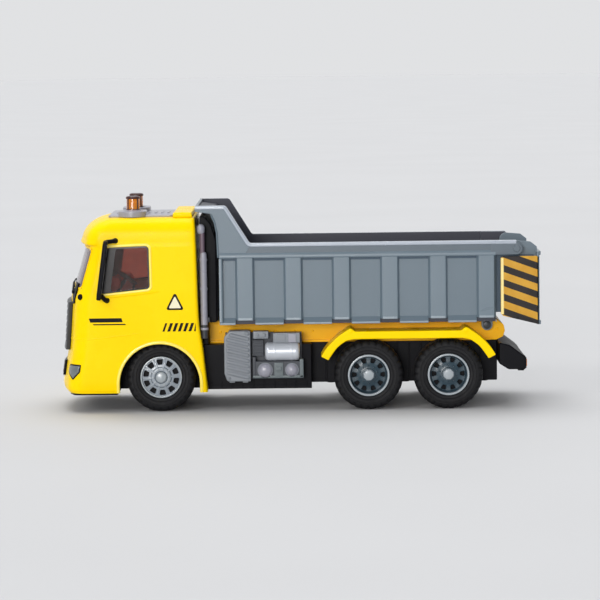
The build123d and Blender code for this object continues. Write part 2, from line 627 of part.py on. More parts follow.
    # tilt pin bores
    with BuildSketch(Plane.XZ.offset(-40)):
        with Locations((PIVOT_X, PIVOT_Z)):
            Circle(PIVOT_R)
    extrude(amount=80, mode=Mode.SUBTRACT)
    # sockets for the tailgate's stubs
    for side in (1, -1):
        with BuildSketch(Plane(origin=(GATE_X, side * 49.0, GATE_Z), x_dir=(1, 0, 0), z_dir=(0, side, 0))):
            Circle(GATE_R + AXLE_CLEAR)
        extrude(amount=6.6, mode=Mode.SUBTRACT)
save(bed_tub, "bed_tub")

with BuildPart() as bed_pin:
    with BuildSketch(Plane.XZ.offset(-36.4)):
        with Locations((PIVOT_X, PIVOT_Z)):
            Circle(PIVOT_R)
    extrude(amount=72.8)
save(bed_pin, "bed_pin")

# ===========================================================================
# tailgate
# ===========================================================================
with BuildPart() as tailgate:
    # rear plate with three upright ribs
    with BuildSketch(Plane.YZ.offset(CHEEK_X1)):
        with Locations((0, (CHEEK_REAR_LOW + 118.0) / 2)):
            Rectangle(2 * 57.0, 118.0 - CHEEK_REAR_LOW)
    extrude(amount=2.0)
    with BuildSketch(Plane.YZ.offset(CHEEK_X1 - 1.3)):
        for yc in (-36.0, 0.0, 36.0):
            with Locations((yc, (CHEEK_REAR_LOW + 118.0) / 2)):
                Rectangle(12.0, 118.0 - CHEEK_REAR_LOW - 8.0)
    extrude(amount=1.5)
    for side in (1, -1):
        # striped cheek
        with BuildSketch(Plane(origin=(0, side * 54.8, 0), x_dir=(1, 0, 0), z_dir=(0, -1, 0))):
            with BuildLine():
                Polyline((CHEEK_X0, CHEEK_TOP), (CHEEK_X0, CHEEK_FRONT_LOW), (CHEEK_X1, CHEEK_REAR_LOW),
                         (CHEEK_X1, CHEEK_TOP), close=True)
            make_face()
        extrude(amount=-side * 2.2)
        # ear that reaches forward to the hinge
        with BuildSketch(Plane(origin=(0, side * 44.6, 0), x_dir=(1, 0, 0), z_dir=(0, -1, 0))):
            with BuildLine():
                Polyline((GATE_X, GATE_Z + 5.4), (GATE_X, GATE_Z - 4.8), (-178.9, 111.0),
                         (-178.9, 120.8), (-174.0, 124.6), close=True)
            make_face()
            with Locations((GATE_X, GATE_Z)):
                Circle(5.4)
        extrude(amount=-side * 3.2)
        # stub that turns in the rail's arm
        with BuildSketch(Plane(origin=(GATE_X, side * 47.4, GATE_Z), x_dir=(1, 0, 0), z_dir=(0, side, 0))):
            Circle(GATE_R)
        extrude(amount=7.8)
save(tailgate, "tailgate")
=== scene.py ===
import bpy
import bmesh
import math
from math import sin, cos, tan, pi, radians, degrees, sqrt, atan2, asin, hypot
from mathutils import Vector, Matrix
from mathutils.geometry import delaunay_2d_cdt


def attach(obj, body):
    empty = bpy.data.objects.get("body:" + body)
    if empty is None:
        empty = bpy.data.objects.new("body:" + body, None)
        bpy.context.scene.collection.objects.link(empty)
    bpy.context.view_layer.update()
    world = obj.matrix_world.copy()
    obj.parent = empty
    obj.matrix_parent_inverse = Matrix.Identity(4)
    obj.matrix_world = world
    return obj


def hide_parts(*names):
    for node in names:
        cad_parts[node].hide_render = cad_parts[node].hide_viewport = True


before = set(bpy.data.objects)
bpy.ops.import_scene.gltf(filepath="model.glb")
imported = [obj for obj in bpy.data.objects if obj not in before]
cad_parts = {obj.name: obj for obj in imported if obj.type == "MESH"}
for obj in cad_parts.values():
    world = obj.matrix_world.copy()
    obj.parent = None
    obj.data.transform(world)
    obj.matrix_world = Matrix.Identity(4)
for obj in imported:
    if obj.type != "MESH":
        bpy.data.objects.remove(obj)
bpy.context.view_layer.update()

MM = 0.001          # the lists below are in millimetres, the scene is in metres


# ===========================================================================
# materials
# ===========================================================================
class Nodes:
    """Small helper round one material's node tree."""

    def __init__(self, name):
        self.m = bpy.data.materials.new(name)
        self.m.use_nodes = True
        self.t = self.m.node_tree
        self.bsdf = self.t.nodes["Principled BSDF"]
        self.out = self.t.nodes["Material Output"]
        self.tc = self.t.nodes.new("ShaderNodeTexCoord")

    def new(self, kind, **sets):
        n = self.t.nodes.new(kind)
        for k, v in sets.items():
            setattr(n, k, v)
        return n

    def link(self, a, b):
        self.t.links.new(a, b)

    def noise(self, scale, detail=3.0, rough=0.5, vec=None, dist=0.0):
        n = self.new("ShaderNodeTexNoise")
        n.inputs["Scale"].default_value = scale
        n.inputs["Detail"].default_value = detail
        n.inputs["Roughness"].default_value = rough
        n.inputs["Distortion"].default_value = dist
        self.link(vec or self.tc.outputs["Object"], n.inputs["Vector"])
        return n

    def mapping(self, scale=(1, 1, 1), rot=(0, 0, 0), loc=(0, 0, 0)):
        n = self.new("ShaderNodeMapping")
        n.inputs["Scale"].default_value = scale
        n.inputs["Rotation"].default_value = rot
        n.inputs["Location"].default_value = loc
        self.link(self.tc.outputs["Object"], n.inputs["Vector"])
        return n.outputs["Vector"]

    def ramp(self, fac, stops):
        n = self.new("ShaderNodeValToRGB")
        e = n.color_ramp.elements
        while len(e) > 1:
            e.remove(e[-1])
        for i, (p, c) in enumerate(stops):
            x = e[0] if i == 0 else e.new(p)
            x.position = p
            x.color = (*c, 1.0) if len(c) == 3 else c
        self.link(fac, n.inputs["Fac"])
        return n.outputs["Color"]

    def math(self, op, a, b=None, c=None):
        n = self.new("ShaderNodeMath", operation=op)
        for i, v in enumerate((a, b, c)):
            if v is None:
                continue
            if hasattr(v, "is_output"):
                self.link(v, n.inputs[i])
            else:
                n.inputs[i].default_value = v
        return n.outputs[0]

    def span(self, fac, lo, hi, from_lo=0.0, from_hi=1.0):
        n = self.new("ShaderNodeMapRange")
        n.inputs["From Min"].default_value = from_lo
        n.inputs["From Max"].default_value = from_hi
        n.inputs["To Min"].default_value = lo
        n.inputs["To Max"].default_value = hi
        self.link(fac, n.inputs["Value"])
        return n.outputs["Result"]

    def mix(self, fac, a, b, blend="MIX"):
        n = self.new("ShaderNodeMix", data_type="RGBA", blend_type=blend)
        if hasattr(fac, "is_output"):
            self.link(fac, n.inputs[0])
        else:
            n.inputs[0].default_value = fac
        for sock, v in ((n.inputs[6], a), (n.inputs[7], b)):
            if hasattr(v, "is_output"):
                self.link(v, sock)
            else:
                sock.default_value = (*v, 1.0)
        return n.outputs[2]

    def bump(self, height, strength, distance, normal=None):
        n = self.new("ShaderNodeBump")
        n.inputs["Strength"].default_value = strength
        n.inputs["Distance"].default_value = distance
        self.link(height, n.inputs["Height"])
        if normal is not None:
            self.link(normal, n.inputs["Normal"])
        return n.outputs["Normal"]

    def xyz(self):
        n = self.new("ShaderNodeSeparateXYZ")
        self.link(self.tc.outputs["Object"], n.inputs[0])
        return n.outputs


def tint(c, k):
    return tuple(min(1.0, max(0.0, x * k)) for x in c)


def plastic(name, rgb, rough=0.3, coat=0.0, coat_rough=0.08, var=0.05, grain=1400.0, bump=0.05,
            depth=0.00004, sss=0.0, spec=0.5, flow=34.0, metal=0.0):
    """Moulded plastic: faint flow clouds in the colour, a fine mould grain, uneven gloss."""
    n = Nodes(name)
    b = n.bsdf
    cloud = n.noise(flow, 4.0, 0.55, dist=0.6)
    fine = n.noise(flow * 9.0, 2.0, 0.5)
    both = n.math("ADD", n.math("MULTIPLY", cloud.outputs["Fac"], 0.75), n.math("MULTIPLY", fine.outputs["Fac"], 0.25))
    col = n.ramp(both, [(0.30, tint(rgb, 1.0 - var)), (0.52, rgb), (0.72, tint(rgb, 1.0 + var * 0.7))])
    n.link(col, b.inputs["Base Color"])
    n.link(n.span(cloud.outputs["Fac"], max(0.03, rough - 0.05), rough + 0.06, 0.3, 0.7), b.inputs["Roughness"])
    g = n.noise(grain, 2.0, 0.6)
    w = n.noise(55.0, 1.0, 0.4)
    h = n.math("ADD", n.math("MULTIPLY", g.outputs["Fac"], 0.35), w.outputs["Fac"])
    n.link(n.bump(h, bump, depth * 6.0), b.inputs["Normal"])
    b.inputs["Coat Weight"].default_value = coat
    b.inputs["Coat Roughness"].default_value = coat_rough
    b.inputs["Specular IOR Level"].default_value = spec
    b.inputs["Metallic"].default_value = metal
    if sss:
        b.inputs["Subsurface Weight"].default_value = sss
        b.inputs["Subsurface Radius"].default_value = (1.0, 0.6, 0.2)
        b.inputs["Subsurface Scale"].default_value = 0.001
    return n.m


YELLOW_RGB = (1.0, 0.675, 0.001)
# orange in place of the cab's yellow: painted shade tint for the frame in the shadow of the bed
FRAME_SHADE_TINT_RGB = (0.95, 0.40, 0.004)
GREY_RGB = (0.110, 0.151, 0.184)

M = {}
M["yellow"] = plastic("yellow_plastic", YELLOW_RGB, 0.27, coat=0.025, var=0.035, bump=0.04, spec=0.05)
# paler yellow for beads and lips: painted highlight along edges that catch the light
M["yellow_painted_highlight"] = plastic("yellow_plastic_painted_highlight", (1.0, 0.78, 0.10), 0.20, coat=0.4, var=0.03, bump=0.03)
# frame colour deeper and more orange than the cab: painted shade tint for the shadow of the bed
M["orange"] = plastic("frame_yellow_shade_tint_plastic", (1.0, 0.50, 0.0015), 0.30, coat=0.05, var=0.06, bump=0.05, spec=0.15)
M["bed"] = plastic("bed_grey_plastic", GREY_RGB, 0.34, coat=0.15, coat_rough=0.2, var=0.025, bump=0.04)
# lighter grey for the bead on the rails: painted highlight
M["bed_painted_highlight"] = plastic("bed_grey_painted_highlight", (0.36, 0.40, 0.46), 0.24, coat=0.3, var=0.04, bump=0.04)
# lighter copy of the bed grey for ribs and the rail's foot: painted light
M["bed_rib_painted_light"] = plastic("bed_grey_painted_light", (0.131, 0.175, 0.210), 0.32, coat=0.15, coat_rough=0.2, var=0.025, bump=0.04)
# pale grey for rib ends, lip edges and the corner post strip: painted highlight
M["bed_mid_painted_highlight"] = plastic("bed_grey_rim_painted_highlight", (0.255, 0.305, 0.345), 0.28, coat=0.25, coat_rough=0.15, var=0.05, bump=0.04)
M["stack_dark"] = plastic("stack_dark_plastic", (0.125, 0.085, 0.115), 0.36, var=0.06)
M["screen_edge"] = plastic("screen_edge_plastic", (0.105, 0.066, 0.074), 0.14, coat=0.15, var=0.03, bump=0.02)
# darker grey on the rail's upper face, the arm and its boss: painted shade; the lighter low grey below is painted light
M["bed_rail"] = plastic("bed_grey_rail", (0.084, 0.111, 0.136), 0.34, coat=0.15, coat_rough=0.2, var=0.025, bump=0.04)
M["bed_rail_low"] = plastic("bed_grey_rail_low", (0.125, 0.165, 0.195), 0.34, coat=0.15, coat_rough=0.2, var=0.025, bump=0.04)
# dark grey for strips under the rail and walls deep inside the tailgate: painted shade
M["bed_shade"] = plastic("bed_grey_painted_shade", (0.048, 0.078, 0.112), 0.40, var=0.05, bump=0.05, spec=0.3)
# near-black grey for the bed's inside faces: painted shade
M["bed_inner_painted_shade"] = plastic("bed_inside_painted_shade", (0.042, 0.044, 0.060), 0.44, var=0.12, bump=0.10, spec=0.3)
M["grey"] = plastic("unit_grey_plastic", (0.190, 0.208, 0.232), 0.36, coat=0.1, coat_rough=0.2, var=0.06, bump=0.06)
M["grey_light"] = plastic("pipe_grey_plastic", (0.285, 0.285, 0.335), 0.30, coat=0.2, var=0.05, bump=0.05)
M["unit_mid"] = plastic("carrier_grey_plastic", (0.092, 0.116, 0.124), 0.38, coat=0.1, coat_rough=0.2, var=0.08, bump=0.06)
M["tank"] = plastic("air_tank_plastic", (0.56, 0.59, 0.64), 0.30, metal=0.3, coat=0.6, coat_rough=0.16, var=0.03, bump=0.004)
# near-black grey for plates and boxes behind the side units' blocks: painted shade of the recesses
M["grey_dark"] = plastic("recess_grey_painted_shade", (0.050, 0.055, 0.066), 0.42, var=0.08, bump=0.06, spec=0.3)
M["black"] = plastic("black_plastic", (0.0030, 0.0030, 0.0050), 0.42, var=0.22, bump=0.09, spec=0.10)
M["black_gloss"] = plastic("black_gloss_plastic", (0.004, 0.002, 0.002), 0.20, coat=0.04, var=0.15, bump=0.03, spec=0.3)
# pale gold for the cheek's front edge: painted highlight
M["gold_painted_highlight"] = plastic("cheek_edge_painted_highlight_plastic", (0.92, 0.72, 0.27), 0.26, coat=0.3, var=0.04, bump=0.03)
M["grille"] = plastic("grille_dark_plastic", (0.040, 0.043, 0.050), 0.36, var=0.12, bump=0.06, spec=0.3)
M["print"] = plastic("black_print", (0.004, 0.004, 0.005), 0.34, var=0.15, bump=0.02, spec=0.08)
M["print_pale"] = plastic("pale_print", (0.80, 0.74, 0.50), 0.34, var=0.04, bump=0.02)
M["rim_light"] = plastic("rim_silver_plastic", (0.27, 0.305, 0.345), 0.28, coat=0.3, var=0.06, bump=0.04)
M["rim_ring"] = plastic("rim_ring_plastic", (0.32, 0.355, 0.38), 0.24, coat=0.3, var=0.04, bump=0.03)
M["rim_dark"] = plastic("rim_blue_grey_plastic", (0.032, 0.058, 0.078), 0.34, coat=0.12, var=0.10, bump=0.05, spec=0.4)
M["interior"] = plastic("cab_trim_plastic", (0.030, 0.028, 0.032), 0.5, var=0.15, bump=0.12)
M["interior_red"] = plastic("cab_red_plastic", (1.0, 0.17, 0.02), 0.34, var=0.08, bump=0.05)
M["seat"] = plastic("seat_plastic", (0.055, 0.045, 0.055), 0.55, var=0.15, bump=0.25, depth=0.00008)


def rubber():
    n = Nodes("tyre_rubber")
    b = n.bsdf
    cloud = n.noise(60.0, 5.0, 0.6)
    dust = n.noise(260.0, 4.0, 0.7)
    both = n.math("ADD", n.math("MULTIPLY", cloud.outputs["Fac"], 0.6), n.math("MULTIPLY", dust.outputs["Fac"], 0.4))
    n.link(n.ramp(both, [(0.35, (0.0040, 0.0040, 0.0050)), (0.6, (0.0070, 0.0070, 0.0085)), (0.78, (0.014, 0.0135, 0.014))]),
           b.inputs["Base Color"])
    n.link(n.span(dust.outputs["Fac"], 0.50, 0.72, 0.3, 0.7), b.inputs["Roughness"])
    g = n.noise(1900.0, 3.0, 0.6)
    n.link(n.bump(g.outputs["Fac"], 0.22, 0.0003), b.inputs["Normal"])
    b.inputs["Specular IOR Level"].default_value = 0.25
    return n.m


def steel():
    n = Nodes("bright_steel_rod")
    b = n.bsdf
    v = n.mapping(scale=(600.0, 6.0, 600.0))
    s = n.noise(3.0, 4.0, 0.6, vec=v)
    n.link(n.ramp(s.outputs["Fac"], [(0.3, (0.42, 0.42, 0.43)), (0.7, (0.62, 0.62, 0.63))]), b.inputs["Base Color"])
    n.link(n.span(s.outputs["Fac"], 0.22, 0.36), b.inputs["Roughness"])
    n.link(n.bump(s.outputs["Fac"], 0.15, 0.0001), b.inputs["Normal"])
    b.inputs["Metallic"].default_value = 1.0
    return n.m


def chrome(name, rgb=(0.78, 0.80, 0.82), rough=0.12):
    n = Nodes(name)
    b = n.bsdf
    s = n.noise(90.0, 3.0, 0.5)
    n.link(n.ramp(s.outputs["Fac"], [(0.3, tint(rgb, 0.9)), (0.7, tint(rgb, 1.08))]), b.inputs["Base Color"])
    n.link(n.span(s.outputs["Fac"], rough, rough + 0.08, 0.3, 0.7), b.inputs["Roughness"])
    b.inputs["Metallic"].default_value = 1.0
    return n.m


def clear(name, rgb, rough=0.03, ior=1.49, wave=0.05):
    """Clear tinted plastic with the slight waviness of a moulded pane."""
    n = Nodes(name)
    b = n.bsdf
    s = n.noise(22.0, 2.0, 0.5)
    n.link(n.ramp(s.outputs["Fac"], [(0.3, tint(rgb, 0.94)), (0.7, tint(rgb, 1.05))]), b.inputs["Base Color"])
    n.link(n.span(s.outputs["Fac"], rough, rough + 0.02, 0.3, 0.7), b.inputs["Roughness"])
    n.link(n.bump(s.outputs["Fac"], wave, 0.0002), b.inputs["Normal"])
    b.inputs["Transmission Weight"].default_value = 1.0
    b.inputs["IOR"].default_value = ior
    return n.m


def cheek_stripes():
    """Hazard stripes: slanted bands, dark and gold, measured off the cheek's own place."""
    n = Nodes("hazard_stripe_print")
    b = n.bsdf
    x, y, z = n.xyz()
    # band coordinate in periods: z - tan(slope) * x
    q = n.math("SUBTRACT", z, n.math("MULTIPLY", x, 0.364))
    q = n.math("DIVIDE", n.math("SUBTRACT", q, 0.16105 - 0.00262), 0.01075)
    f = n.math("FRACT", q)
    band = n.math("LESS_THAN", f, 0.487)
    cloud = n.noise(70.0, 3.0, 0.5)
    gold = n.ramp(cloud.outputs["Fac"], [(0.3, (0.50, 0.245, 0.016)), (0.7, (0.62, 0.34, 0.034))])
    dark = n.ramp(cloud.outputs["Fac"], [(0.3, (0.008, 0.007, 0.008)), (0.7, (0.022, 0.016, 0.015))])
    n.link(n.mix(band, gold, dark), b.inputs["Base Color"])
    n.link(n.span(cloud.outputs["Fac"], 0.26, 0.38, 0.3, 0.7), b.inputs["Roughness"])
    g = n.noise(1500.0, 2.0, 0.5)
    n.link(n.bump(g.outputs["Fac"], 0.06, 0.0002), b.inputs["Normal"])
    b.inputs["Specular IOR Level"].default_value = 0.25
    return n.m


def lens(name, rgb, pitch=0.0011, rough=0.12, trans=0.0):
    """Moulded lamp lens with fine fluting."""
    n = Nodes(name)
    b = n.bsdf
    x, y, z = n.xyz()
    s = n.noise(120.0, 2.0, 0.5)
    n.link(n.ramp(s.outputs["Fac"], [(0.3, tint(rgb, 0.85)), (0.7, tint(rgb, 1.12))]), b.inputs["Base Color"])
    n.link(n.span(s.outputs["Fac"], rough, rough + 0.08, 0.3, 0.7), b.inputs["Roughness"])
    w = n.math("SINE", n.math("MULTIPLY", n.math("ADD", x, y), 2 * pi / pitch))
    n.link(n.bump(w, 0.5, 0.00012), b.inputs["Normal"])
    b.inputs["Coat Weight"].default_value = 0.6
    b.inputs["Coat Roughness"].default_value = 0.04
    if trans:
        b.inputs["Transmission Weight"].default_value = trans
    return n.m


M["tyre"] = rubber()
M["steel"] = steel()
M["chrome"] = chrome("bright_chrome")
M["mirror"] = chrome("mirror_face", (0.88, 0.90, 0.92), 0.03)
M["glass"] = clear("window_tinted_plastic", (0.46, 0.185, 0.135))
M["screen"] = clear("windscreen_tinted_plastic", (0.50, 0.38, 0.41))
M["beacon"] = lens("beacon_orange_lens", (1.0, 0.30, 0.01), 0.0021, 0.10, trans=0.55)
M["beacon_dark"] = plastic("beacon_cage_plastic", (0.045, 0.010, 0.007), 0.28, coat=0.2, var=0.15, bump=0.03, spec=0.35)
M["lamp"] = lens("headlamp_lens", (0.15, 0.17, 0.175), 0.0016, 0.10)
M["lamp_red"] = lens("tail_lamp_lens", (0.62, 0.010, 0.008), 0.0012, 0.14)
M["lamp_amber"] = lens("amber_lamp_lens", (0.90, 0.24, 0.01), 0.0012, 0.14)
M["stripes"] = cheek_stripes()


# ===========================================================================
# mesh code
# ===========================================================================
def put(axis, u, v, w):
    """Outline coordinates (u, v) and the length coordinate w as a point."""
    return Vector({"x": (w, u, v), "y": (u, w, v), "z": (u, v, w)}[axis])


def area2(pts):
    return sum(pts[i - 1][0] * p[1] - p[0] * pts[i - 1][1] for i, p in enumerate(pts))


def prism(pts, axis, a, b):
    """Closed solid: a flat outline drawn from a to b along an axis."""
    bm = bmesh.new()
    lo = [bm.verts.new(put(axis, u, v, a)) for u, v in pts]
    hi = [bm.verts.new(put(axis, u, v, b)) for u, v in pts]
    bm.faces.new(lo)
    bm.faces.new(hi[::-1])
    for i in range(len(pts)):
        bm.faces.new((lo[i - 1], hi[i - 1], hi[i], lo[i]))
    bmesh.ops.recalc_face_normals(bm, faces=bm.faces)
    return bm


def box(x0, x1, y0, y1, z0, z1):
    return prism([(x0, y0), (x1, y0), (x1, y1), (x0, y1)], "z", z0, z1)


def rounded(pts, r, seg=5):
    """Outline with its corners rounded; r is one radius or one for each corner."""
    n = len(pts)
    rr = r if isinstance(r, (list, tuple)) else [r] * n
    out = []
    for i in range(n):
        p, a, b = Vector(pts[i]), Vector(pts[i - 1]), Vector(pts[(i + 1) % n])
        if rr[i] <= 0:
            out.append(tuple(p))
            continue
        da, db = (a - p), (b - p)
        la, lb = da.length, db.length
        da.normalize()
        db.normalize()
        half = math.acos(max(-1, min(1, da.dot(db)))) / 2
        t = min(rr[i] / max(tan(half), 1e-6), la * 0.49, lb * 0.49)
        rad = t * tan(half)
        c = p + (da + db).normalized() * (rad / max(sin(half), 1e-6))
        p0, p1 = p + da * t, p + db * t
        a0 = atan2(p0.y - c.y, p0.x - c.x)
        a1 = atan2(p1.y - c.y, p1.x - c.x)
        d = (a1 - a0 + pi) % (2 * pi) - pi
        for k in range(seg + 1):
            ang = a0 + d * k / seg
            out.append((c.x + rad * cos(ang), c.y + rad * sin(ang)))
    return out


def circle(cx, cy, r, n=32, start=0.0):
    return [(cx + r * cos(start + 2 * pi * i / n), cy + r * sin(start + 2 * pi * i / n)) for i in range(n)]


def bevel(bm, width, seg=2, angle=28.0, keep=None):
    edges = [e for e in bm.edges if len(e.link_faces) == 2 and e.calc_face_angle(0.0) > radians(angle)
             and (keep is None or keep(e))]
    if edges:
        bmesh.ops.bevel(bm, geom=edges, offset=width, offset_type="OFFSET", segments=seg, profile=0.5,
                        affect="EDGES", clamp_overlap=True)
    return bm


def lathe(profile, origin=(0, 0, 0), axis=(0, 1, 0), n=64, start=0.0):
    """Profile of (u along the axis, radius) turned about the axis; a radius of 0 is a pole."""
    ax = Vector(axis).normalized()
    e1 = ax.orthogonal().normalized()
    e2 = ax.cross(e1)
    o = Vector(origin)
    bm = bmesh.new()
    rings = []
    for u, r in profile:
        if r <= 1e-6:
            rings.append([bm.verts.new(o + ax * u)])
        else:
            rings.append([bm.verts.new(o + ax * u + (e1 * cos(start + 2 * pi * i / n) + e2 * sin(start + 2 * pi * i / n)) * r)
                          for i in range(n)])
    m = len(rings)
    loop = profile[0][1] > 1e-6 and profile[-1][1] > 1e-6
    for k in range(m if loop else m - 1):
        a, b = rings[k], rings[(k + 1) % m]
        for i in range(n):
            j = (i + 1) % n
            if len(a) == 1 and len(b) == 1:
                continue
            if len(a) == 1:
                bm.faces.new((a[0], b[i], b[j]))
            elif len(b) == 1:
                bm.faces.new((a[j], a[i], b[0]))
            else:
                bm.faces.new((a[i], a[j], b[j], b[i]))
    bmesh.ops.recalc_face_normals(bm, faces=bm.faces)
    return bm


def loft(sections, caps=True):
    """Rings of equal length joined one after the other."""
    bm = bmesh.new()
    rings = [[bm.verts.new(Vector(p)) for p in s] for s in sections]
    n = len(rings[0])
    for a, b in zip(rings, rings[1:]):
        for i in range(n):
            j = (i + 1) % n
            bm.faces.new((a[i], a[j], b[j], b[i]))
    if caps:
        bm.faces.new(rings[0][::-1])
        bm.faces.new(rings[-1])
    bmesh.ops.recalc_face_normals(bm, faces=bm.faces)
    return bm


def tube(path, radius, n=14, caps=True):
    """Round tube along points; radius is one number or one for each point."""
    pts = [Vector(p) for p in path]
    rad = radius if isinstance(radius, (list, tuple)) else [radius] * len(pts)
    tan_ = []
    for i in range(len(pts)):
        a = pts[max(i - 1, 0)]
        b = pts[min(i + 1, len(pts) - 1)]
        tan_.append((b - a).normalized())
    e = tan_[0].orthogonal().normalized()
    rings = []
    for p, t, r in zip(pts, tan_, rad):
        e = (e - t * e.dot(t)).normalized()
        f = t.cross(e)
        rings.append([p + (e * cos(2 * pi * i / n) + f * sin(2 * pi * i / n)) * r for i in range(n)])
    return loft(rings, caps)


def arc_path(points, radius, seg=6):
    """Corners of a 3D path turned into arcs."""
    p = [Vector(q) for q in points]
    out = [p[0]]
    for i in range(1, len(p) - 1):
        a, b = (p[i - 1] - p[i]), (p[i + 1] - p[i])
        la, lb = a.length, b.length
        a.normalize()
        b.normalize()
        half = math.acos(max(-1, min(1, a.dot(b)))) / 2
        t = min(radius / max(tan(half), 1e-6), la * 0.48, lb * 0.48)
        for k in range(seg + 1):
            s = k / seg
            q0 = p[i] + a * t * (1 - s)
            q1 = p[i] + b * t * s
            out.append(q0 * (1 - s) + q1 * s if False else (p[i] + a * t) * (1 - s) ** 2 + p[i] * 2 * s * (1 - s) + (p[i] + b * t) * s ** 2)
    out.append(p[-1])
    return out


def sweep(frames, section, closed=True):
    """Section of (a, h) carried along frames of (point, outward, up)."""
    rings = [[p + n * a + b * h for a, h in section] for p, n, b in frames]
    bm = bmesh.new()
    vs = [[bm.verts.new(q) for q in r] for r in rings]
    m, k = len(vs), len(section)
    for i in range(m if closed else m - 1):
        a, b = vs[i], vs[(i + 1) % m]
        for j in range(k):
            l = (j + 1) % k
            bm.faces.new((a[j], a[l], b[l], b[j]))
    if not closed:
        bm.faces.new(vs[0][::-1])
        bm.faces.new(vs[-1])
    bmesh.ops.recalc_face_normals(bm, faces=bm.faces)
    return bm


def inside(p, poly):
    x, y = p[0], p[1]
    c = False
    for i in range(len(poly)):
        x1, y1 = poly[i][0], poly[i][1]
        x2, y2 = poly[i - 1][0], poly[i - 1][1]
        if (y1 > y) != (y2 > y) and x < (x2 - x1) * (y - y1) / (y2 - y1) + x1:
            c = not c
    return c


def fill(outer, holes=(), extra=()):
    """Triangles of a flat outline with holes, through the extra points too."""
    vs, es = [], []
    for loop in (outer, *holes):
        k, m = len(vs), len(loop)
        vs += [Vector((p[0], p[1])) for p in loop]
        es += [(k + i, k + (i + 1) % m) for i in range(m)]
    vs += [Vector((p[0], p[1])) for p in extra if inside(p, outer) and not any(inside(p, h) for h in holes)]
    r = delaunay_2d_cdt(vs, es, [], 0, 1e-6)
    pts = r[0]
    tris = []
    for t in r[2]:
        c = ((pts[t[0]].x + pts[t[1]].x + pts[t[2]].x) / 3, (pts[t[0]].y + pts[t[1]].y + pts[t[2]].y) / 3)
        if inside(c, outer) and not any(inside(c, h) for h in holes):
            tris.append(tuple(t))
    return pts, tris


def plate(outer, place_front, place_back, holes=(), extra=()):
    """Plate of any bend: a flat outline with holes, put in space by two functions of (u, v)."""
    pts, tris = fill(outer, holes, extra)
    bm = bmesh.new()
    used = sorted({i for t in tris for i in t})
    f = {i: bm.verts.new(place_front(pts[i].x, pts[i].y)) for i in used}
    k = {i: bm.verts.new(place_back(pts[i].x, pts[i].y)) for i in used}
    count = {}
    for t in tris:
        bm.faces.new([f[i] for i in t])
        bm.faces.new([k[i] for i in reversed(t)])
        for a, b in ((t[0], t[1]), (t[1], t[2]), (t[2], t[0])):
            count[(a, b)] = count.get((a, b), 0) + 1
    for (a, b) in count:
        if (b, a) not in count:
            bm.faces.new((f[b], f[a], k[a], k[b]))
    bmesh.ops.recalc_face_normals(bm, faces=bm.faces)
    return bm


def turned(bm, matrix):
    bmesh.ops.transform(bm, matrix=matrix, verts=bm.verts)
    if matrix.determinant() < 0:
        bmesh.ops.reverse_faces(bm, faces=bm.faces)
    return bm


def copy_of(bm):
    return bm.copy()


def mirror_y(bm):
    return turned(bm, Matrix.Diagonal((1, -1, 1, 1)))


def boolean(bm, cutter, op="DIFFERENCE"):
    """Exact boolean of two closed meshes."""
    objs = []
    for b in (bm, cutter):
        me = bpy.data.meshes.new("tmp")
        b.to_mesh(me)
        b.free()
        o = bpy.data.objects.new("tmp", me)
        bpy.context.scene.collection.objects.link(o)
        objs.append(o)
    a, c = objs
    m = a.modifiers.new("cut", "BOOLEAN")
    m.operation = op
    m.solver = "EXACT"
    m.object = c
    dg = bpy.context.evaluated_depsgraph_get()
    me = bpy.data.meshes.new_from_object(a.evaluated_get(dg))
    out = bmesh.new()
    out.from_mesh(me)
    for o in objs:
        old = o.data
        bpy.data.objects.remove(o)
        bpy.data.meshes.remove(old)
    bpy.data.meshes.remove(me)
    return out


class Part:
    """One visible piece, gathered from solids in millimetres."""

    def __init__(self, name, body, slot, *nodes):
        self.name, self.body, self.slot, self.nodes = name, body, slot, nodes
        self.bm = bmesh.new()
        self.mats = []

    def add(self, bm, mat, bev=0.0, seg=2, angle=28.0, keep=None):
        if bev:
            bevel(bm, bev, seg, angle, keep)
        if mat not in self.mats:
            self.mats.append(mat)
        k = self.mats.index(mat)
        for f in bm.faces:
            f.material_index = k
            f.smooth = True
        me = bpy.data.meshes.new("tmp")
        bm.to_mesh(me)
        bm.free()
        self.bm.from_mesh(me)
        bpy.data.meshes.remove(me)
        return self

    def both(self, make, mat, bev=0.0, seg=2, angle=28.0, keep=None):
        """The solid on the left side and its mirror image on the right."""
        self.add(make(), mat, bev, seg, angle, keep)
        b = make()
        if bev:
            bevel(b, bev, seg, angle, keep)
        self.add(mirror_y(b), mat)
        return self

    def done(self, sharp=38.0):
        bm = self.bm
        bmesh.ops.transform(bm, matrix=Matrix.Scale(MM, 4), verts=bm.verts)
        for e in bm.edges:
            if len(e.link_faces) == 2 and e.calc_face_angle(0.0) > radians(sharp):
                e.smooth = False
        me = bpy.data.meshes.new(self.name)
        bm.to_mesh(me)
        bm.free()
        for m in self.mats:
            me.materials.append(M[m])
        o = bpy.data.objects.new(self.name, me)
        bpy.context.scene.collection.objects.link(o)
        w = o.modifiers.new("normals", "WEIGHTED_NORMAL")
        w.mode = "FACE_AREA"
        w.weight = 50
        w.keep_sharp = True
        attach(o, self.body)
        if self.nodes:
            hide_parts(*self.nodes)
        return o


def screw_head(cx, cy, z, r=1.9, down=True):
    """Round screw head in the bottom, seen from below."""
    s = -1 if down else 1
    bm = lathe([(0.0, r), (s * 0.25, r), (s * 0.55, r * 0.72), (s * 0.62, 0.0)], (cx, cy, z), (0, 0, 1), 24)
    return bm


# ===========================================================================
# wheels
# ===========================================================================
AXLE_Z, WHEEL_R, RIM_R = 26.0, 26.0, 15.8
AXLES = [("front", 104.3, 52.5, 17.0, 0.0), ("middle", -51.6, 56.5, 24.0, 6.5), ("rear", -111.5, 56.5, 24.0, 6.5)]


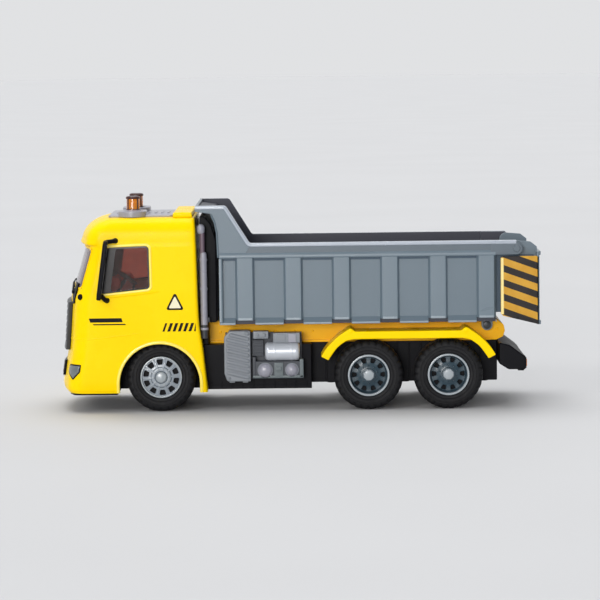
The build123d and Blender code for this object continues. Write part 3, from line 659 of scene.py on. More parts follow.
def tyre_mesh(ax, y_out, width, side):
    """Tyre with four ribs, wavy grooves and cut shoulders."""
    u0, u1 = y_out - width, y_out
    w = width
    steps = 168
    R = WHEEL_R
    gd = 1.15                         # groove depth
    # columns across the tread: (position 0..1, kind)
    cols = []
    ngr = 3 if w > 20 else 2
    edges = [0.0]
    for g in range(ngr):
        c = (g + 1) / (ngr + 1)
        cols.append(c)
    prof = []                         # (u, radius, tag)
    prof += [(u0 + 1.2, RIM_R + 0.05, "i"), (u0 + 0.55, RIM_R + 1.0, "i"), (u0 + 0.12, RIM_R + 2.1, "i"), (u0, RIM_R + 4.0, "i"),
             (u0 + 0.1, R - 3.6, "i"), (u0 + 0.35, R - 2.5, "s"), (u0 + 1.1, R - 1.2, "s"), (u0 + 2.3, R - 0.35, "s")]
    t0, t1 = u0 + 2.6, u1 - 2.6
    gw = 0.75
    prev = t0
    for c in cols:
        uc = t0 + (t1 - t0) * c
        prof += [((prev + uc - gw) / 2, R, "t"), (uc - gw, R, "w"), (uc - gw * 0.7, R - gd, "wg"), (uc + gw * 0.7, R - gd, "wg"), (uc + gw, R, "w")]
        prev = uc + gw
    prof += [((prev + t1) / 2, R, "t")]
    prof += [(u1 - 2.3, R - 0.35, "s"), (u1 - 1.1, R - 1.2, "s"), (u1 - 0.35, R - 2.5, "s"), (u1 - 0.05, R - 3.6, "o"),
             (u1 + 0.0, R - 4.3, "o"), (u1 - 0.28, R - 4.55, "o"), (u1 - 0.28, R - 5.0, "o"), (u1 + 0.02, R - 5.3, "o"),
             (u1 + 0.0, RIM_R + 3.2, "o"), (u1 - 0.30, RIM_R + 2.7, "o"), (u1 - 0.05, RIM_R + 2.2, "o"), (u1 - 0.12, RIM_R + 1.2, "o"),
             (u1 - 0.5, RIM_R + 0.45, "o"), (u1 - 1.2, RIM_R + 0.05, "o")]
    bm = bmesh.new()
    rings = []
    for i in range(steps):
        a = 2 * pi * i / steps
        ph = i % 6
        ring = []
        for (u, r, tag) in prof:
            uu, rr = u, r
            if tag in ("w", "wg"):
                uu += 0.45 * sin(2 * pi * i / 12.0)
            if tag == "s" and ph in (0, 1):
                rr -= 0.95 * (1.0 if abs(u - (u0 + u1) / 2) > w / 2 - 2.2 else 0.9)
            if tag == "t" and ph in (0, 1):
                # sipes only in the outer ribs
                if abs(u - (u0 + u1) / 2) > w * 0.26:
                    rr -= 0.85
            ring.append(bm.verts.new((ax + rr * sin(a), side * uu, AXLE_Z - rr * cos(a))))
        rings.append(ring)
    m = len(prof)
    for i in range(steps):
        a, b = rings[i], rings[(i + 1) % steps]
        for j in range(m):
            l = (j + 1) % m
            bm.faces.new((a[j], a[l], b[l], b[j]))
    bmesh.ops.recalc_face_normals(bm, faces=bm.faces)
    return bm


def hole_outline(rc, ang, half_in, half_out, h_in, h_out, cut=0.55):
    """Rounded wedge at radius rc and angle ang, wider towards the ring."""
    pts = [(rc - h_in, -half_in), (rc + h_out, -half_out), (rc + h_out, half_out), (rc - h_in, half_in)]
    pts = rounded(pts, cut, 3)
    return [(x * cos(ang) - y * sin(ang), x * sin(ang) + y * cos(ang)) for x, y in pts]


def rim_part(name, ax, y_out, width, dish):
    p = Part(name + "_rims_visual", name + "_wheels", "rim_grey", name + "_rims")
    u0, u1 = y_out - width, y_out
    for side in (1, -1):
        o = (ax, 0, AXLE_Z)
        axis = (0, side, 0)
        if dish == 0.0:
            # bright outer ring
            p.add(lathe([(u1 - 3.0, 15.75), (u1 - 1.2, 15.75), (u1 - 0.3, 15.7), (u1 + 0.1, 15.5), (u1 + 0.2, 15.1),
                         (u1 + 0.15, 14.6), (u1 - 0.15, 14.35), (u1 - 1.5, 14.2), (u1 - 3.0, 14.15)], o, axis, 96), "rim_ring")
            # barrel and closed back
            p.add(lathe([(u0 + 1.2, 15.75), (u1 - 2.8, 15.75), (u1 - 2.8, 14.1), (u1 - 4.4, 13.9), (u0 + 1.2, 13.8)], o, axis, 72), "rim_dark")
            p.add(lathe([(u1 - 5.4, 13.9), (u1 - 4.9, 13.9), (u1 - 4.9, 2.05), (u1 - 5.4, 2.05)], o, axis, 48), "black")
            # disc with its ten openings, a shallow cone
            def cone(x, y, off):
                r = hypot(x, y)
                t = (r - 7.0) / 6.8
                return Vector((ax + x, side * (u1 - 0.45 - 1.05 * max(0.0, min(1.0, t)) + off), AXLE_Z + y))
            holes = [hole_outline(11.7, radians(85.5 + 36 * k), 1.65, 2.80, 2.25, 1.85, 0.95) for k in range(10)]
            rings = [(rr * cos(2 * pi * i / 60), rr * sin(2 * pi * i / 60)) for rr in (8.6,) for i in range(60)]
            p.add(plate(circle(0, 0, 14.4, 90), lambda x, y: cone(x, y, 0.0), lambda x, y: cone(x, y, -1.3),
                        holes + [circle(0, 0, 6.2, 48)], rings), "rim_light")
            # raised rim round each opening
            for k in range(10):
                ang = radians(85.5 + 36 * k)
                outl = hole_outline(11.7, ang, 1.80, 2.95, 2.40, 1.98, 1.05)
                fr = []
                m = len(outl)
                for i in range(m):
                    q = Vector(outl[i])
                    d = (Vector(outl[(i + 1) % m]) - Vector(outl[i - 1])).normalized()
                    nrm = Vector((d.y, -d.x))
                    c = cone(q.x, q.y, 0.0)
                    fr.append((c, Vector((nrm.x, 0, nrm.y)), Vector((0, side, 0))))
                p.add(sweep(fr, [(-0.22, -0.3), (-0.16, 0.12), (0.0, 0.22), (0.16, 0.12), (0.22, -0.3)]), "rim_light")
            # spokes between the openings
            for k in range(10):
                ang = radians(85.5 + 18 + 36 * k)
                ca, sa = cos(ang), sin(ang)
                secs = []
                for rr_, hw, h_ in ((7.2, 1.25, 0.30), (8.6, 1.1, 0.52), (11.4, 0.85, 0.50), (13.4, 0.8, 0.34), (14.0, 0.8, 0.05)):
                    ring = []
                    for u_, v_ in ((-hw, -0.5), (-hw, 0.0), (-hw * 0.45, h_), (hw * 0.45, h_), (hw, 0.0), (hw, -0.5)):
                        ring.append(cone(rr_ * ca - u_ * sa, rr_ * sa + u_ * ca, v_))
                    secs.append(ring)
                p.add(loft(secs), "rim_light")
            # dark rings round the flange and round the cap: painted shade in the grooves
            p.add(lathe([(u1 - 1.0, 7.95), (u1 - 0.30, 7.95), (u1 - 0.22, 7.8), (u1 - 0.22, 7.45), (u1 - 1.0, 7.45)], o, axis, 60), "rim_dark")
            p.add(lathe([(u1 - 0.2, 4.75), (u1 + 0.20, 4.75), (u1 + 0.20, 4.2), (u1 - 0.2, 4.2)], o, axis, 48), "rim_dark")
            # hub, flange and cap
            p.add(lathe([(u1 - 1.2, 7.5), (u1 - 0.25, 7.5), (u1 + 0.25, 7.15), (u1 + 0.45, 6.7), (u1 + 0.40, 5.1), (u1 + 0.10, 4.7),
                         (u1 + 0.10, 0.0)], o, axis, 60), "rim_light")
            p.add(lathe([(u1, 4.3), (u1 + 1.0, 4.2), (u1 + 1.75, 3.5), (u1 + 2.1, 2.0), (u1 + 2.2, 0.0)], o, axis, 8, radians(10)), "rim_ring")
            bolts_r, bolts_u, bolt = 5.9, u1 + 0.40, 0.88
            p.add(lathe([(u1 - 6.0, 0.0), (u1 - 6.0, 4.9), (u1 - 0.8, 6.4), (u1 - 0.8, 0.0)], o, axis, 40), "rim_dark")
            p.add(lathe([(u0 + 1.2, 2.05), (u0 + 1.2, 4.9), (u1 - 5.9, 4.9), (u1 - 5.9, 2.05)], o, axis, 32), "rim_dark")
            bm_, nm_ = "rim_ring", "rim_ring"
        else:
            p.add(lathe([(u1 - 3.0, 15.75), (u1 - 1.2, 15.75), (u1 - 0.3, 15.7), (u1 + 0.1, 15.5), (u1 + 0.2, 15.1),
                         (u1 + 0.15, 14.55), (u1 - 0.10, 14.25), (u1 - 0.8, 14.05), (u1 - 3.0, 14.0)], o, axis, 96), "rim_ring")
            p.add(lathe([(u0 + 1.2, 15.75), (u1 - 2.8, 15.75), (u1 - 2.8, 14.15), (u1 - dish - 0.2, 12.75), (u1 - dish - 3.0, 13.3),
                         (u0 + 1.2, 13.8)], o, axis, 72), "rim_dark")
            p.add(lathe([(u1 - dish - 3.6, 13.3), (u1 - dish - 3.1, 13.3), (u1 - dish - 3.1, 2.05), (u1 - dish - 3.6, 2.05)], o, axis, 48), "black")

            def disc(x, y, off):
                r = hypot(x, y)
                t = max(0.0, min(1.0, (9.4 - r) / 4.0))
                return Vector((ax + x, side * (u1 - dish + 1.5 * t + off), AXLE_Z + y))
            holes = [hole_outline(10.85, radians(36 * k), 1.20, 2.15, 1.95, 1.60, 0.75) for k in range(10)]
            rings = [(rr * cos(2 * pi * i / 60), rr * sin(2 * pi * i / 60)) for rr in (5.4, 7.4, 9.3) for i in range(60)]
            p.add(plate(circle(0, 0, 12.9, 90), lambda x, y: disc(x, y, 0.0), lambda x, y: disc(x, y, -1.3),
                        holes + [circle(0, 0, 3.6, 32)], rings), "rim_dark")
            for k in range(10):
                ang = radians(36 * k)
                outl = hole_outline(10.85, ang, 1.38, 2.32, 2.12, 1.75, 0.85)
                fr = []
                m = len(outl)
                for i in range(m):
                    q = Vector(outl[i])
                    d = (Vector(outl[(i + 1) % m]) - Vector(outl[i - 1])).normalized()
                    nrm = Vector((d.y, -d.x))
                    fr.append((disc(q.x, q.y, 0.0), Vector((nrm.x, 0, nrm.y)), Vector((0, side, 0))))
                p.add(sweep(fr, [(-0.2, -0.3), (-0.15, 0.1), (0.0, 0.2), (0.15, 0.1), (0.2, -0.3)]), "rim_dark")
            # hub that comes back out, eight-sided at its end
            p.add(lathe([(u1 - dish - 1.0, 5.0), (u1 - dish + 1.6, 5.0), (u1 - 2.0, 4.75), (u1 - 1.9, 4.3), (u1 - 2.4, 0.0), ][:4] +
                        [(u1 - 1.9, 0.0)], o, axis, 48), "rim_dark")
            p.add(lathe([(u1 - 2.3, 4.2), (u1 - 1.3, 4.15), (u1 - 0.75, 3.55), (u1 - 0.62, 2.2), (u1 - 0.6, 0.0)], o, axis, 8, pi / 8), "rim_ring")
            p.add(lathe([(u0 + 1.2, 2.05), (u0 + 1.2, 4.9), (u1 - 6.0, 4.9), (u1 - 6.0, 2.05)], o, axis, 32), "rim_dark")
            bolts_r, bolts_u, bolt = 6.6, u1 - dish + 1.0, 0.62
            bm_ = "rim_dark"
        for k in range(10):
            a = radians((103.5 if dish == 0.0 else 18.0) + 36 * k)
            c = (ax + bolts_r * cos(a), 0, AXLE_Z + bolts_r * sin(a))
            p.add(lathe([(bolts_u - 0.5, bolt), (bolts_u + 0.45, bolt), (bolts_u + 0.62, bolt * 0.62), (bolts_u + 0.9, bolt * 0.5),
                         (bolts_u + 0.98, 0.0)], c, axis, 6 if dish == 0.0 else 6, 0.3), bm_)
    return p.done(sharp=34.0)


for name, ax, y_out, width, dish in AXLES:
    t = Part(name + "_tyres_visual", name + "_wheels", "tyre", name + "_tyres")
    for side in (1, -1):
        t.add(tyre_mesh(ax, y_out, width, side), "tyre")
    t.done(sharp=30.0)
    rim_part(name, ax, y_out, width, dish)
    a = Part(name + "_axle_visual", name + "_wheels", "steel", name + "_axle")
    h = y_out - 6.0
    a.add(lathe([(-h, 0.0), (-h, 1.7), (-h + 0.3, 2.0), (h - 0.3, 2.0), (h, 1.7), (h, 0.0)], (ax, 0, AXLE_Z), (0, 1, 0), 40), "steel")
    a.done()


# ===========================================================================
# chassis
# ===========================================================================
FRAME_POLY = [(68.4, 66.0), (68.4, 49.0), (-149.5, 49.0), (-154.5, 51.5), (-156.0, 56.0), (-155.0, 60.5), (-150.0, 64.5),
              (-146.0, 66.0)]
PIVOT_X, PIVOT_Z = -142.0, 61.0
# the frame's orange is a painted shade tint for the shadow of the bed over it
p = Part("chassis_frame_visual", "chassis", "yellow", "chassis_frame")
# two side rails, a top skin and cross members: the channel section as seen from every side
for s in (1, -1):
    def rail(s=s):
        y0, y1 = (26.5, 29.5) if s > 0 else (-29.5, -26.5)
        bm = prism(FRAME_POLY, "y", y0, y1)
        return bm
    p.add(rail(), "orange", 0.55, 2)
    # raised flange lines along the outside of the rail
    for z0, z1 in ((63.6, 66.0), (49.0, 50.9)):
        p.add(box(-145.0, 68.4, s * 29.3 if s > 0 else -30.4, s * 30.4 if s > 0 else s * 29.3, z0, z1), "orange", 0.35, 2)
    # rivet heads on the rail
    for x in [60.0 - 14.0 * i for i in range(16)]:
        if -16 > x > -147:
            continue
        p.add(lathe([(29.3, 1.1), (29.75, 1.05), (30.05, 0.7), (30.15, 0.0)], (x, 0, 57.3), (0, s, 0), 16), "orange")
top = prism([(-146.0, -27.0), (68.3, -27.0), (68.3, 27.0), (-146.0, 27.0)], "z", 63.0, 65.95)
p.add(top, "orange", 0.3)
p.add(prism([(-132.0, 49.2), (-132.0, 65.6), (-146.0, 65.6), (-150.0, 64.3), (-155.0, 60.3), (-155.9, 56.0), (-154.4, 51.6),
             (-149.4, 49.2)], "y", -27.0, 27.0), "orange", 0.4)
p.add(box(64.8, 68.3, -27.0, 27.0, 49.1, 63.5), "orange", 0.3)
for x in (40.0, 4.0, -32.0, -68.0, -104.0):
    p.add(box(x - 1.5, x + 1.5, -27.0, 27.0, 50.0, 63.4), "orange", 0.3)
# shallow recesses read as long slots in the top skin
for x in (46.0, 10.0, -26.0, -62.0, -98.0):
    for y in (-12.0, 12.0):
        p.add(prism(rounded([(x - 11, y - 3.2), (x + 11, y - 3.2), (x + 11, y + 3.2), (x - 11, y + 3.2)], 3.0, 6), "z", 65.6, 66.0),
              "orange", 0.15, 1)
p.done()

# black underframe
p = Part("underframe_visual", "chassis", "black", "chassis_pan")
p.add(box(74.0, 165.0, -30.0, 30.0, 15.0, 57.9), "black", 0.9)
p.add(box(-150.0, -8.0, -27.5, 27.5, 18.0, 49.0), "black", 0.9)
# the middle block with its battery bay: a floor ring round the bay, then the body above
p.add(box(-9.0, 74.0, -40.0, 40.0, 17.0, 49.0), "black", 0.9)
for (x0, x1, y0, y1) in ((-9.0, 74.0, 24.2, 40.0), (-9.0, 74.0, -40.0, -24.2), (-9.0, -6.2, -24.2, 24.2), (52.2, 74.0, -24.2, 24.2)):
    p.add(box(x0, x1, y0, y1, 15.0, 17.6), "black", 0.35)
# stiffening ribs on the flanks, and axle blocks below
for s in (1, -1):
    for x in [-20 - 9.0 * i for i in range(14)]:
        if abs(x + 51.6) < 5 or abs(x + 111.5) < 5:
            continue
        p.add(box(x - 0.7, x + 0.7, min(s * 27.2, s * 28.6), max(s * 27.2, s * 28.6), 19.5, 47.5), "black", 0.25, 1)
    for x in [82 + 9.0 * i for i in range(9)]:
        if abs(x - 104.3) < 5:
            continue
        p.add(box(x - 0.7, x + 0.7, min(s * 29.8, s * 31.0), max(s * 29.8, s * 31.0), 17.0, 54.0), "black", 0.25, 1)
    for x in [-5 + 8.0 * i for i in range(10)]:
        p.add(box(x - 0.6, x + 0.6, min(s * 39.8, s * 40.3), max(s * 39.8, s * 40.3), 15.8, 21.0), "black", 0.2, 1)
    # boss round each rod
    for ax, y, r in ((104.3, 30.0, 5.2), (-51.6, 27.5, 5.2), (-111.5, 27.5, 5.2)):
        p.add(lathe([(y - 0.5, r), (y + 1.6, r), (y + 2.0, r - 0.4), (y + 2.0, 2.3), (y - 0.5, 2.3)], (ax, 0, 26.0), (0, s, 0), 32), "black")
for ax, z in ((104.3, 15.0), (-51.6, 18.0), (-111.5, 18.0)):
    p.add(box(ax - 7.0, ax + 7.0, -22.0, 22.0, z - 1.3, z + 0.2), "black", 0.5)
    for y in (-17.0, 17.0):
        p.add(screw_head(ax, y, z - 1.25), "steel")
for x in (84.0, 128.0, 150.0, -24.0, -80.0, -140.0):
    for y in (-20.0, 20.0):
        z = 15.0 if x > 0 else 18.0
        p.add(lathe([(0.2, 3.4), (-0.7, 3.4), (-0.9, 3.2), (-0.9, 2.3), (0.2, 2.3)], (x, y, z), (0, 0, 1), 28), "black")
        p.add(screw_head(x, y, z - 0.1), "steel")
p.done()

p = Part("nose_tray_visual", "chassis", "black", "nose_tray")
p.add(prism(rounded([(137.0, -49.0), (169.8, -49.0), (173.7, -38.0), (173.7, 38.0), (169.8, 49.0), (137.0, 49.0)], [1.0, 5.0, 3.0, 3.0, 5.0, 1.0], 6), "z", 12.6, 15.0), "black", 0.5)
for y in range(-42, 43, 7):
    p.add(box(140.0, 165.0, y - 0.6, y + 0.6, 12.15, 12.8), "black", 0.2, 1)
p.done()

p = Part("battery_cover_visual", "chassis", "black", "battery_cover")
p.add(prism(rounded([(-5.8, -23.8), (51.8, -23.8), (51.8, 23.8), (-5.8, 23.8)], 2.0, 4), "z", 15.2, 17.0), "black", 0.35)
for x in range(2, 40, 4):
    p.add(box(x - 0.7, x + 0.7, -16.0, 16.0, 14.85, 15.3), "black", 0.2, 1)
p.add(screw_head(47.0, 0.0, 15.2, 1.7), "steel")
p.add(box(-5.6, -2.0, -8.0, 8.0, 14.8, 15.4), "black", 0.25)
p.done()

# rear fenders
FMID = (-51.6 - 111.5) / 2
F_OUT = [(-16.0, 40.5), (-20.4, 47.2), (-28.2, 55.0), (-35.2, 60.0), (-38.2, 61.6), (-41.6, 59.2)]
F_IN = [(-41.1, 53.4), (-33.8, 51.4), (-28.2, 47.1), (-22.5, 39.5), (-21.6, 37.7)]
F_CAP = [(-41.6, 56.9), (-35.0, 57.4), (-28.8, 52.9), (-22.2, 46.0), (-18.2, 39.6)]


def flip(points):
    return [(2 * FMID - x, z) for x, z in reversed(points)]


def smooth_line(pts, per=5):
    """Catmull-Rom curve through the points."""
    out = []
    n = len(pts)
    for i in range(n - 1):
        p0, p1, p2, p3 = (Vector(pts[max(i - 1, 0)]), Vector(pts[i]), Vector(pts[i + 1]), Vector(pts[min(i + 2, n - 1)]))
        for k in range(per):
            t = k / per
            q = 0.5 * ((2 * p1) + (p2 - p0) * t + (2 * p0 - 5 * p1 + 4 * p2 - p3) * t * t + (3 * p1 - p0 - 3 * p2 + p3) * t ** 3)
            out.append(tuple(q))
    out.append(tuple(pts[-1]))
    return out


f_out = smooth_line(F_OUT[:4], 4) + [(-36.7, 61.0), (-38.2, 61.5), (-39.6, 61.0), (-41.6, 59.2)]
f_in = [(-41.1, 53.4)] + smooth_line([(-36.5, 52.6), (-33.8, 51.4), (-28.2, 47.1), (-22.5, 39.5)], 4) + [(-21.6, 37.7)]
f_cap = smooth_line(F_CAP, 3)
for side, name in ((1, "left_fender"), (-1, "right_fender")):
    p = Part(name + "_visual", "chassis", "yellow", name)
    lip = f_out + flip(f_out) + [(2 * FMID - x, z) for x, z in reversed(f_in)] + f_in
    y0, y1 = sorted((side * 54.3, side * 57.0))
    p.add(prism(lip, "y", y0, y1), "yellow", 0.85, 3)
    cap = f_out + flip(f_out) + [(2 * FMID - x, z) for x, z in reversed(f_cap)] + f_cap
    y0, y1 = sorted((side * 29.6, side * 54.8))
    p.add(prism(cap, "y", y0, y1), "yellow", 0.4, 2)
    # raised bead along the crown of each bend
    for sx in (1, -1):
        cx = FMID + sx * (FMID * -1 - 38.2) if False else (-38.2 if sx > 0 else 2 * FMID + 38.2)
        p.add(lathe([(-30.0, 0.0), (-30.0, 1.9), (-56.8, 1.9), (-57.2, 1.4), (-57.3, 0.0)] if side < 0 else
                    [(30.0, 0.0), (30.0, 1.9), (56.8, 1.9), (57.2, 1.4), (57.3, 0.0)], (cx, 0, 59.55), (0, 1, 0), 24), "yellow")
    p.done()

# rear beam and lamps
p = Part("rear_bumper_visual", "chassis", "black", "rear_bumper")
p.add(prism([(-150.0, 48.8), (-158.0, 47.0), (-170.0, 38.0), (-170.0, 28.5), (-157.0, 28.5), (-150.0, 33.0)], "y", -50.0, 50.0),
      "black", 1.0, 3)
for s in (1, -1):
    p.add(prism(rounded([(s * 27.4, 29.0), (s * 48.6, 29.0), (s * 48.6, 37.4), (s * 27.4, 37.4)], 1.4, 4), "x", -170.6, -169.5), "black", 0.25)
p.add(prism(rounded([(-16.0, 29.6), (16.0, 29.6), (16.0, 36.8), (-16.0, 36.8)], 1.2, 4), "x", -170.5, -169.5), "print_pale", 0.2)
for y in (-22.0, 22.0):
    p.add(box(-171.0, -166.0, y - 1.6, y + 1.6, 24.5, 29.5), "black", 0.6)
p.done()
p = Part("tail_lamps_visual", "chassis", "lamp_red", "tail_lamps")
for s in (1, -1):
    p.add(prism(rounded([(s * 29.2, 30.4), (s * 39.4, 30.4), (s * 39.4, 36.0), (s * 29.2, 36.0)], 1.0, 4), "x", -171.2, -170.2), "lamp_red", 0.35)
    p.add(prism(rounded([(s * 40.0, 30.4), (s * 46.8, 30.4), (s * 46.8, 36.0), (s * 40.0, 36.0)], 1.0, 4), "x", -171.2, -170.2), "lamp_amber", 0.35)
p.done()


# side equipment ------------------------------------------------------------
def side_unit(side, name):
    p = Part(name + "_visual", "chassis", "light_grey", name)

    def Y(a, b):
        return sorted((side * a, side * b))

    def blk(x0, x1, z0, z1, a, b, mat, bev=0.5, seg=2):
        y0, y1 = Y(a, b)
        p.add(box(x0, x1, y0, y1, z0, z1), mat, bev, seg)

    # dark back plate behind the blocks: painted shade in the gaps between them
    blk(-1.6, 56.0, 23.0, 58.2, 40.0, 43.0, "grey_dark", 0.4)
    # ribbed box with rounded corners
    y0, y1 = Y(40.2, 51.6)
    p.add(prism(rounded([(36.9, 22.0), (54.6, 22.0), (56.8, 28.0), (56.8, 55.5), (52.6, 60.2), (36.9, 60.2)],
                        [0.8, 2.2, 4.0, 4.0, 4.0, 0.8], 5), "y", y0, y1), "grey", 0.8, 3)
    # slanted ridges on its face
    poly = [(37.6, 22.6), (54.2, 22.6), (56.2, 28.2), (56.2, 55.2), (52.3, 59.6), (37.6, 59.6)]
    slope = tan(radians(14))
    pitch = 4.15
    k = -2
    while True:
        zc = 62.5 - k * pitch
        k += 1
        if zc < 16:
            break
        # ridge centre line: z = zc - (56.5 - x) * slope
        xa, xb = 37.7, 56.1
        seg = []
        for i in range(41):
            x = xa + (xb - xa) * i / 40
            z = zc - (56.5 - x) * slope
            xm = 56.1
            if z < 28.2:
                xm = 54.2 + (z - 22.6) / 5.6 * 1.9
            if z > 55.2:
                xm = 56.1 - (z - 55.2) / 4.4 * 3.8
            if 24.0 <= z <= 58.8 and x <= xm - 0.9:
                seg.append((x, z))
        if len(seg) < 4:
            continue
        fr = []
        for i, (x, z) in enumerate(seg):
            e = min(i, len(seg) - 1 - i)
            sc = min(1.0, 0.35 + e * 0.35)
            fr.append((Vector((x, side * 51.5, z)), Vector((-slope, 0, 1)).normalized() * sc, Vector((0, side, 0)) * sc))
        p.add(sweep(fr, [(-1.75, -0.2), (-1.35, 0.45), (-0.7, 0.85), (0.3, 0.95), (1.2, 0.6), (1.75, -0.2)], closed=False), "grey")
    # lid lines and feet of the box
    blk(38.5, 53.0, 59.4, 60.4, 42.0, 50.0, "grey", 0.3)
    blk(39.0, 43.0, 20.9, 22.3, 44.0, 49.5, "grey", 0.3)
    blk(49.0, 53.0, 20.9, 22.3, 44.0, 49.5, "grey", 0.3)
    # valve block with its pipes
    blk(23.3, 34.9, 54.0, 59.7, 42.5, 50.5, "grey", 0.7)
    blk(25.2, 32.8, 55.2, 58.6, 50.2, 51.2, "grey", 0.4)
    for cx in (26.6, 31.4):
        p.add(lathe([(50.9, 1.15), (51.6, 1.1), (51.9, 0.7), (51.9, 0.0)], (cx, 0, 56.9), (0, side, 0), 16), "grey")
    # long block with its square patch
    blk(-0.3, 19.9, 50.7, 58.3, 42.5, 50.5, "grey", 0.6)
    blk(2.6, 8.4, 51.0, 57.6, 50.1, 51.3, "grey_light", 0.45)
    blk(10.6, 18.4, 52.2, 56.8, 50.2, 50.9, "grey", 0.3)
    # dark cabinet between them: painted shade of the recess there
    blk(27.1, 35.7, 40.6, 52.7, 42.5, 47.0, "grey_dark", 0.5)
    for i in range(4):
        blk(28.2, 34.6, 42.2 + i * 2.7, 43.4 + i * 2.7, 46.8, 47.5, "grey_dark", 0.2, 1)
    # lying air tank: long cylinder with domed ends and two straps
    r = 7.0
    prof = [(0.0, 0.0), (0.1, 4.4), (0.5, 5.7), (1.3, 6.55), (2.5, 6.95), (3.4, r), (23.0, r), (23.9, 6.95), (25.1, 6.55), (25.9, 5.7), (26.3, 4.4), (26.4, 0.0)]
    p.add(lathe(prof, (-0.1, side * 47.0, 44.1), (1, 0, 0), 48), "tank")
    for x in (6.2, 19.0):
        p.add(lathe([(x - 0.9, 6.6), (x - 0.9, 7.05), (x - 0.6, 7.2), (x + 0.6, 7.2), (x + 0.9, 7.05), (x + 0.9, 6.6)],
                    (-0.1, side * 46.9, 44.1), (1, 0, 0), 48), "tank")
    # lower carrier with two tank ends, its back block dark as painted shade
    blk(-3.0, 35.7, 23.7, 36.8, 42.5, 49.4, "grey_dark", 0.6)
    blk(-2.6, 35.3, 24.1, 26.2, 49.0, 50.2, "unit_mid", 0.4)
    blk(12.4, 19.4, 25.4, 35.8, 48.8, 50.4, "unit_mid", 0.5)
    blk(13.6, 18.2, 29.4, 32.6, 50.0, 51.2, "unit_mid", 0.5)
    blk(-2.8, 0.2, 24.2, 38.4, 44.0, 50.2, "unit_mid", 0.5)
    blk(33.0, 35.5, 24.2, 40.2, 44.0, 49.8, "grey_dark", 0.5)
    for cx, cz, rr in ((26.1, 30.0, 5.4), (6.0, 30.2, 4.8)):
        p.add(lathe([(46.0, rr), (49.6, rr), (50.4, rr - 0.15), (51.6, rr - 0.9), (52.5, rr - 2.0), (52.9, rr - 3.3), (53.0, 0.0)],
                    (cx, 0, cz), (0, side, 0), 40), "grey_light")
        p.add(lathe([(46.0, rr + 0.5), (49.9, rr + 0.5), (50.2, rr + 0.2), (50.2, rr - 0.2), (46.0, rr - 0.2)], (cx, 0, cz), (0, side, 0), 40), "grey")
    return p.done()


side_unit(1, "left_side_unit")
side_unit(-1, "right_side_unit")

# ===========================================================================
# cab
# ===========================================================================
WALL = 2.2
# z, rear x, front x on the centre line, bulge of the front, half width, corner radius, softness of the row
CAB_ROWS = [
    (14.5, 69.3, 179.0, 5.0, 54.5, 13.0, 0.0),
    (17.0, 69.6, 180.9, 5.0, 55.6, 13.5, 1.0),
    (21.0, 70.0, 181.0, 5.0, 56.0, 14.0, 1.8),
    (36.0, 71.5, 178.7, 5.0, 56.0, 14.0, 4.0),
    (47.0, 72.6, 176.8, 5.0, 56.0, 14.0, 4.0),
    (66.0, 75.3, 175.4, 5.0, 56.0, 14.0, 6.0),
    (86.0, 76.0, 174.0, 5.0, 56.0, 14.0, 2.2),
    (91.5, 76.1, 172.3, 5.5, 56.0, 13.5, 1.6),
    (124.6, 76.8, 162.6, 6.0, 55.4, 11.5, 0.4),
    (127.4, 76.9, 164.9, 5.5, 55.2, 11.5, 0.9),
    (131.0, 77.0, 165.0, 5.0, 55.1, 11.5, 1.8),
    (135.4, 77.1, 163.2, 5.0, 54.9, 11.5, 2.0),
    (139.4, 77.3, 160.2, 5.0, 53.9, 11.5, 1.7),
    (142.8, 77.6, 155.6, 5.0, 51.4, 11.0, 1.0),
    (144.9, 77.9, 150.5, 5.0, 48.2, 10.0, 0.5),
    (145.8, 79.0, 145.5, 5.0, 44.0, 8.0, 0.0),
]


def soft_rows(rows):
    out = []
    for i, r in enumerate(rows):
        v = Vector(r[:6])
        if i == 0 or i == len(rows) - 1 or r[6] <= 0:
            out.append(v)
            continue
        a, b = Vector(rows[i - 1][:6]), Vector(rows[i + 1][:6])
        ta = min(0.45, r[6] / (v[0] - a[0]))
        tb = min(0.45, r[6] / (b[0] - v[0]))
        p0, p2 = v.lerp(a, ta), v.lerp(b, tb)
        for k in range(5):
            t = k / 4
            out.append(p0 * (1 - t) ** 2 + v * 2 * t * (1 - t) + p2 * t * t)
    return out


SOFT_ROWS = soft_rows(CAB_ROWS)


def cab_row(z):
    """Row values at a height."""
    rows = SOFT_ROWS
    if z <= rows[0][0]:
        return rows[0].copy()
    for a, b in zip(rows, rows[1:]):
        if z <= b[0]:
            t = (z - a[0]) / max(1e-9, b[0] - a[0])
            return a.lerp(b, t)
    return rows[-1].copy()


REAR_R = 2.6


def front_geo(row, inset=0.0):
    z, xr, xf, bulge, w, r = row
    xr, xf, w, r = xr + inset, xf - inset, w - inset, max(r - inset, 1.0)
    c = w - r
    Rf = (c * c + bulge * bulge) / (2 * bulge)
    fx = xf - Rf
    cx = fx + sqrt((Rf - r) ** 2 - c * c)
    th = atan2(c, cx - fx)
    return xr, xf, w, r, c, Rf, fx, cx, th


N_REAR, N_RC, N_SIDE, N_FC, N_FR = 5, 5, 22, 10, 14


def outline(row, inset=0.0, z=None):
    """Closed ring of points of the cab's plan."""
    xr, xf, w, r, c, Rf, fx, cx, th = front_geo(row, inset)
    rr = max(0.6, REAR_R - inset)
    half = [(xr, (w - rr) * k / N_REAR) for k in range(N_REAR)]
    half += [(xr + rr - rr * cos(pi / 2 * k / N_RC), w - rr + rr * sin(pi / 2 * k / N_RC)) for k in range(N_RC)]
    half += [(xr + rr + (cx - xr - rr) * k / N_SIDE, w) for k in range(N_SIDE)]
    half += [(cx + r * sin((pi / 2 - th) * k / N_FC), c + r * cos((pi / 2 - th) * k / N_FC)) for k in range(N_FC)]
    half += [(fx + Rf * cos(th * (1 - k / N_FR)), Rf * sin(th * (1 - k / N_FR))) for k in range(N_FR)]
    half.append((xf, 0.0))
    zz = row[0] if z is None else z
    ring = [(x, y, zz) for x, y in half]
    ring += [(x, -y, zz) for x, y in reversed(half[1:-1])]
    return ring


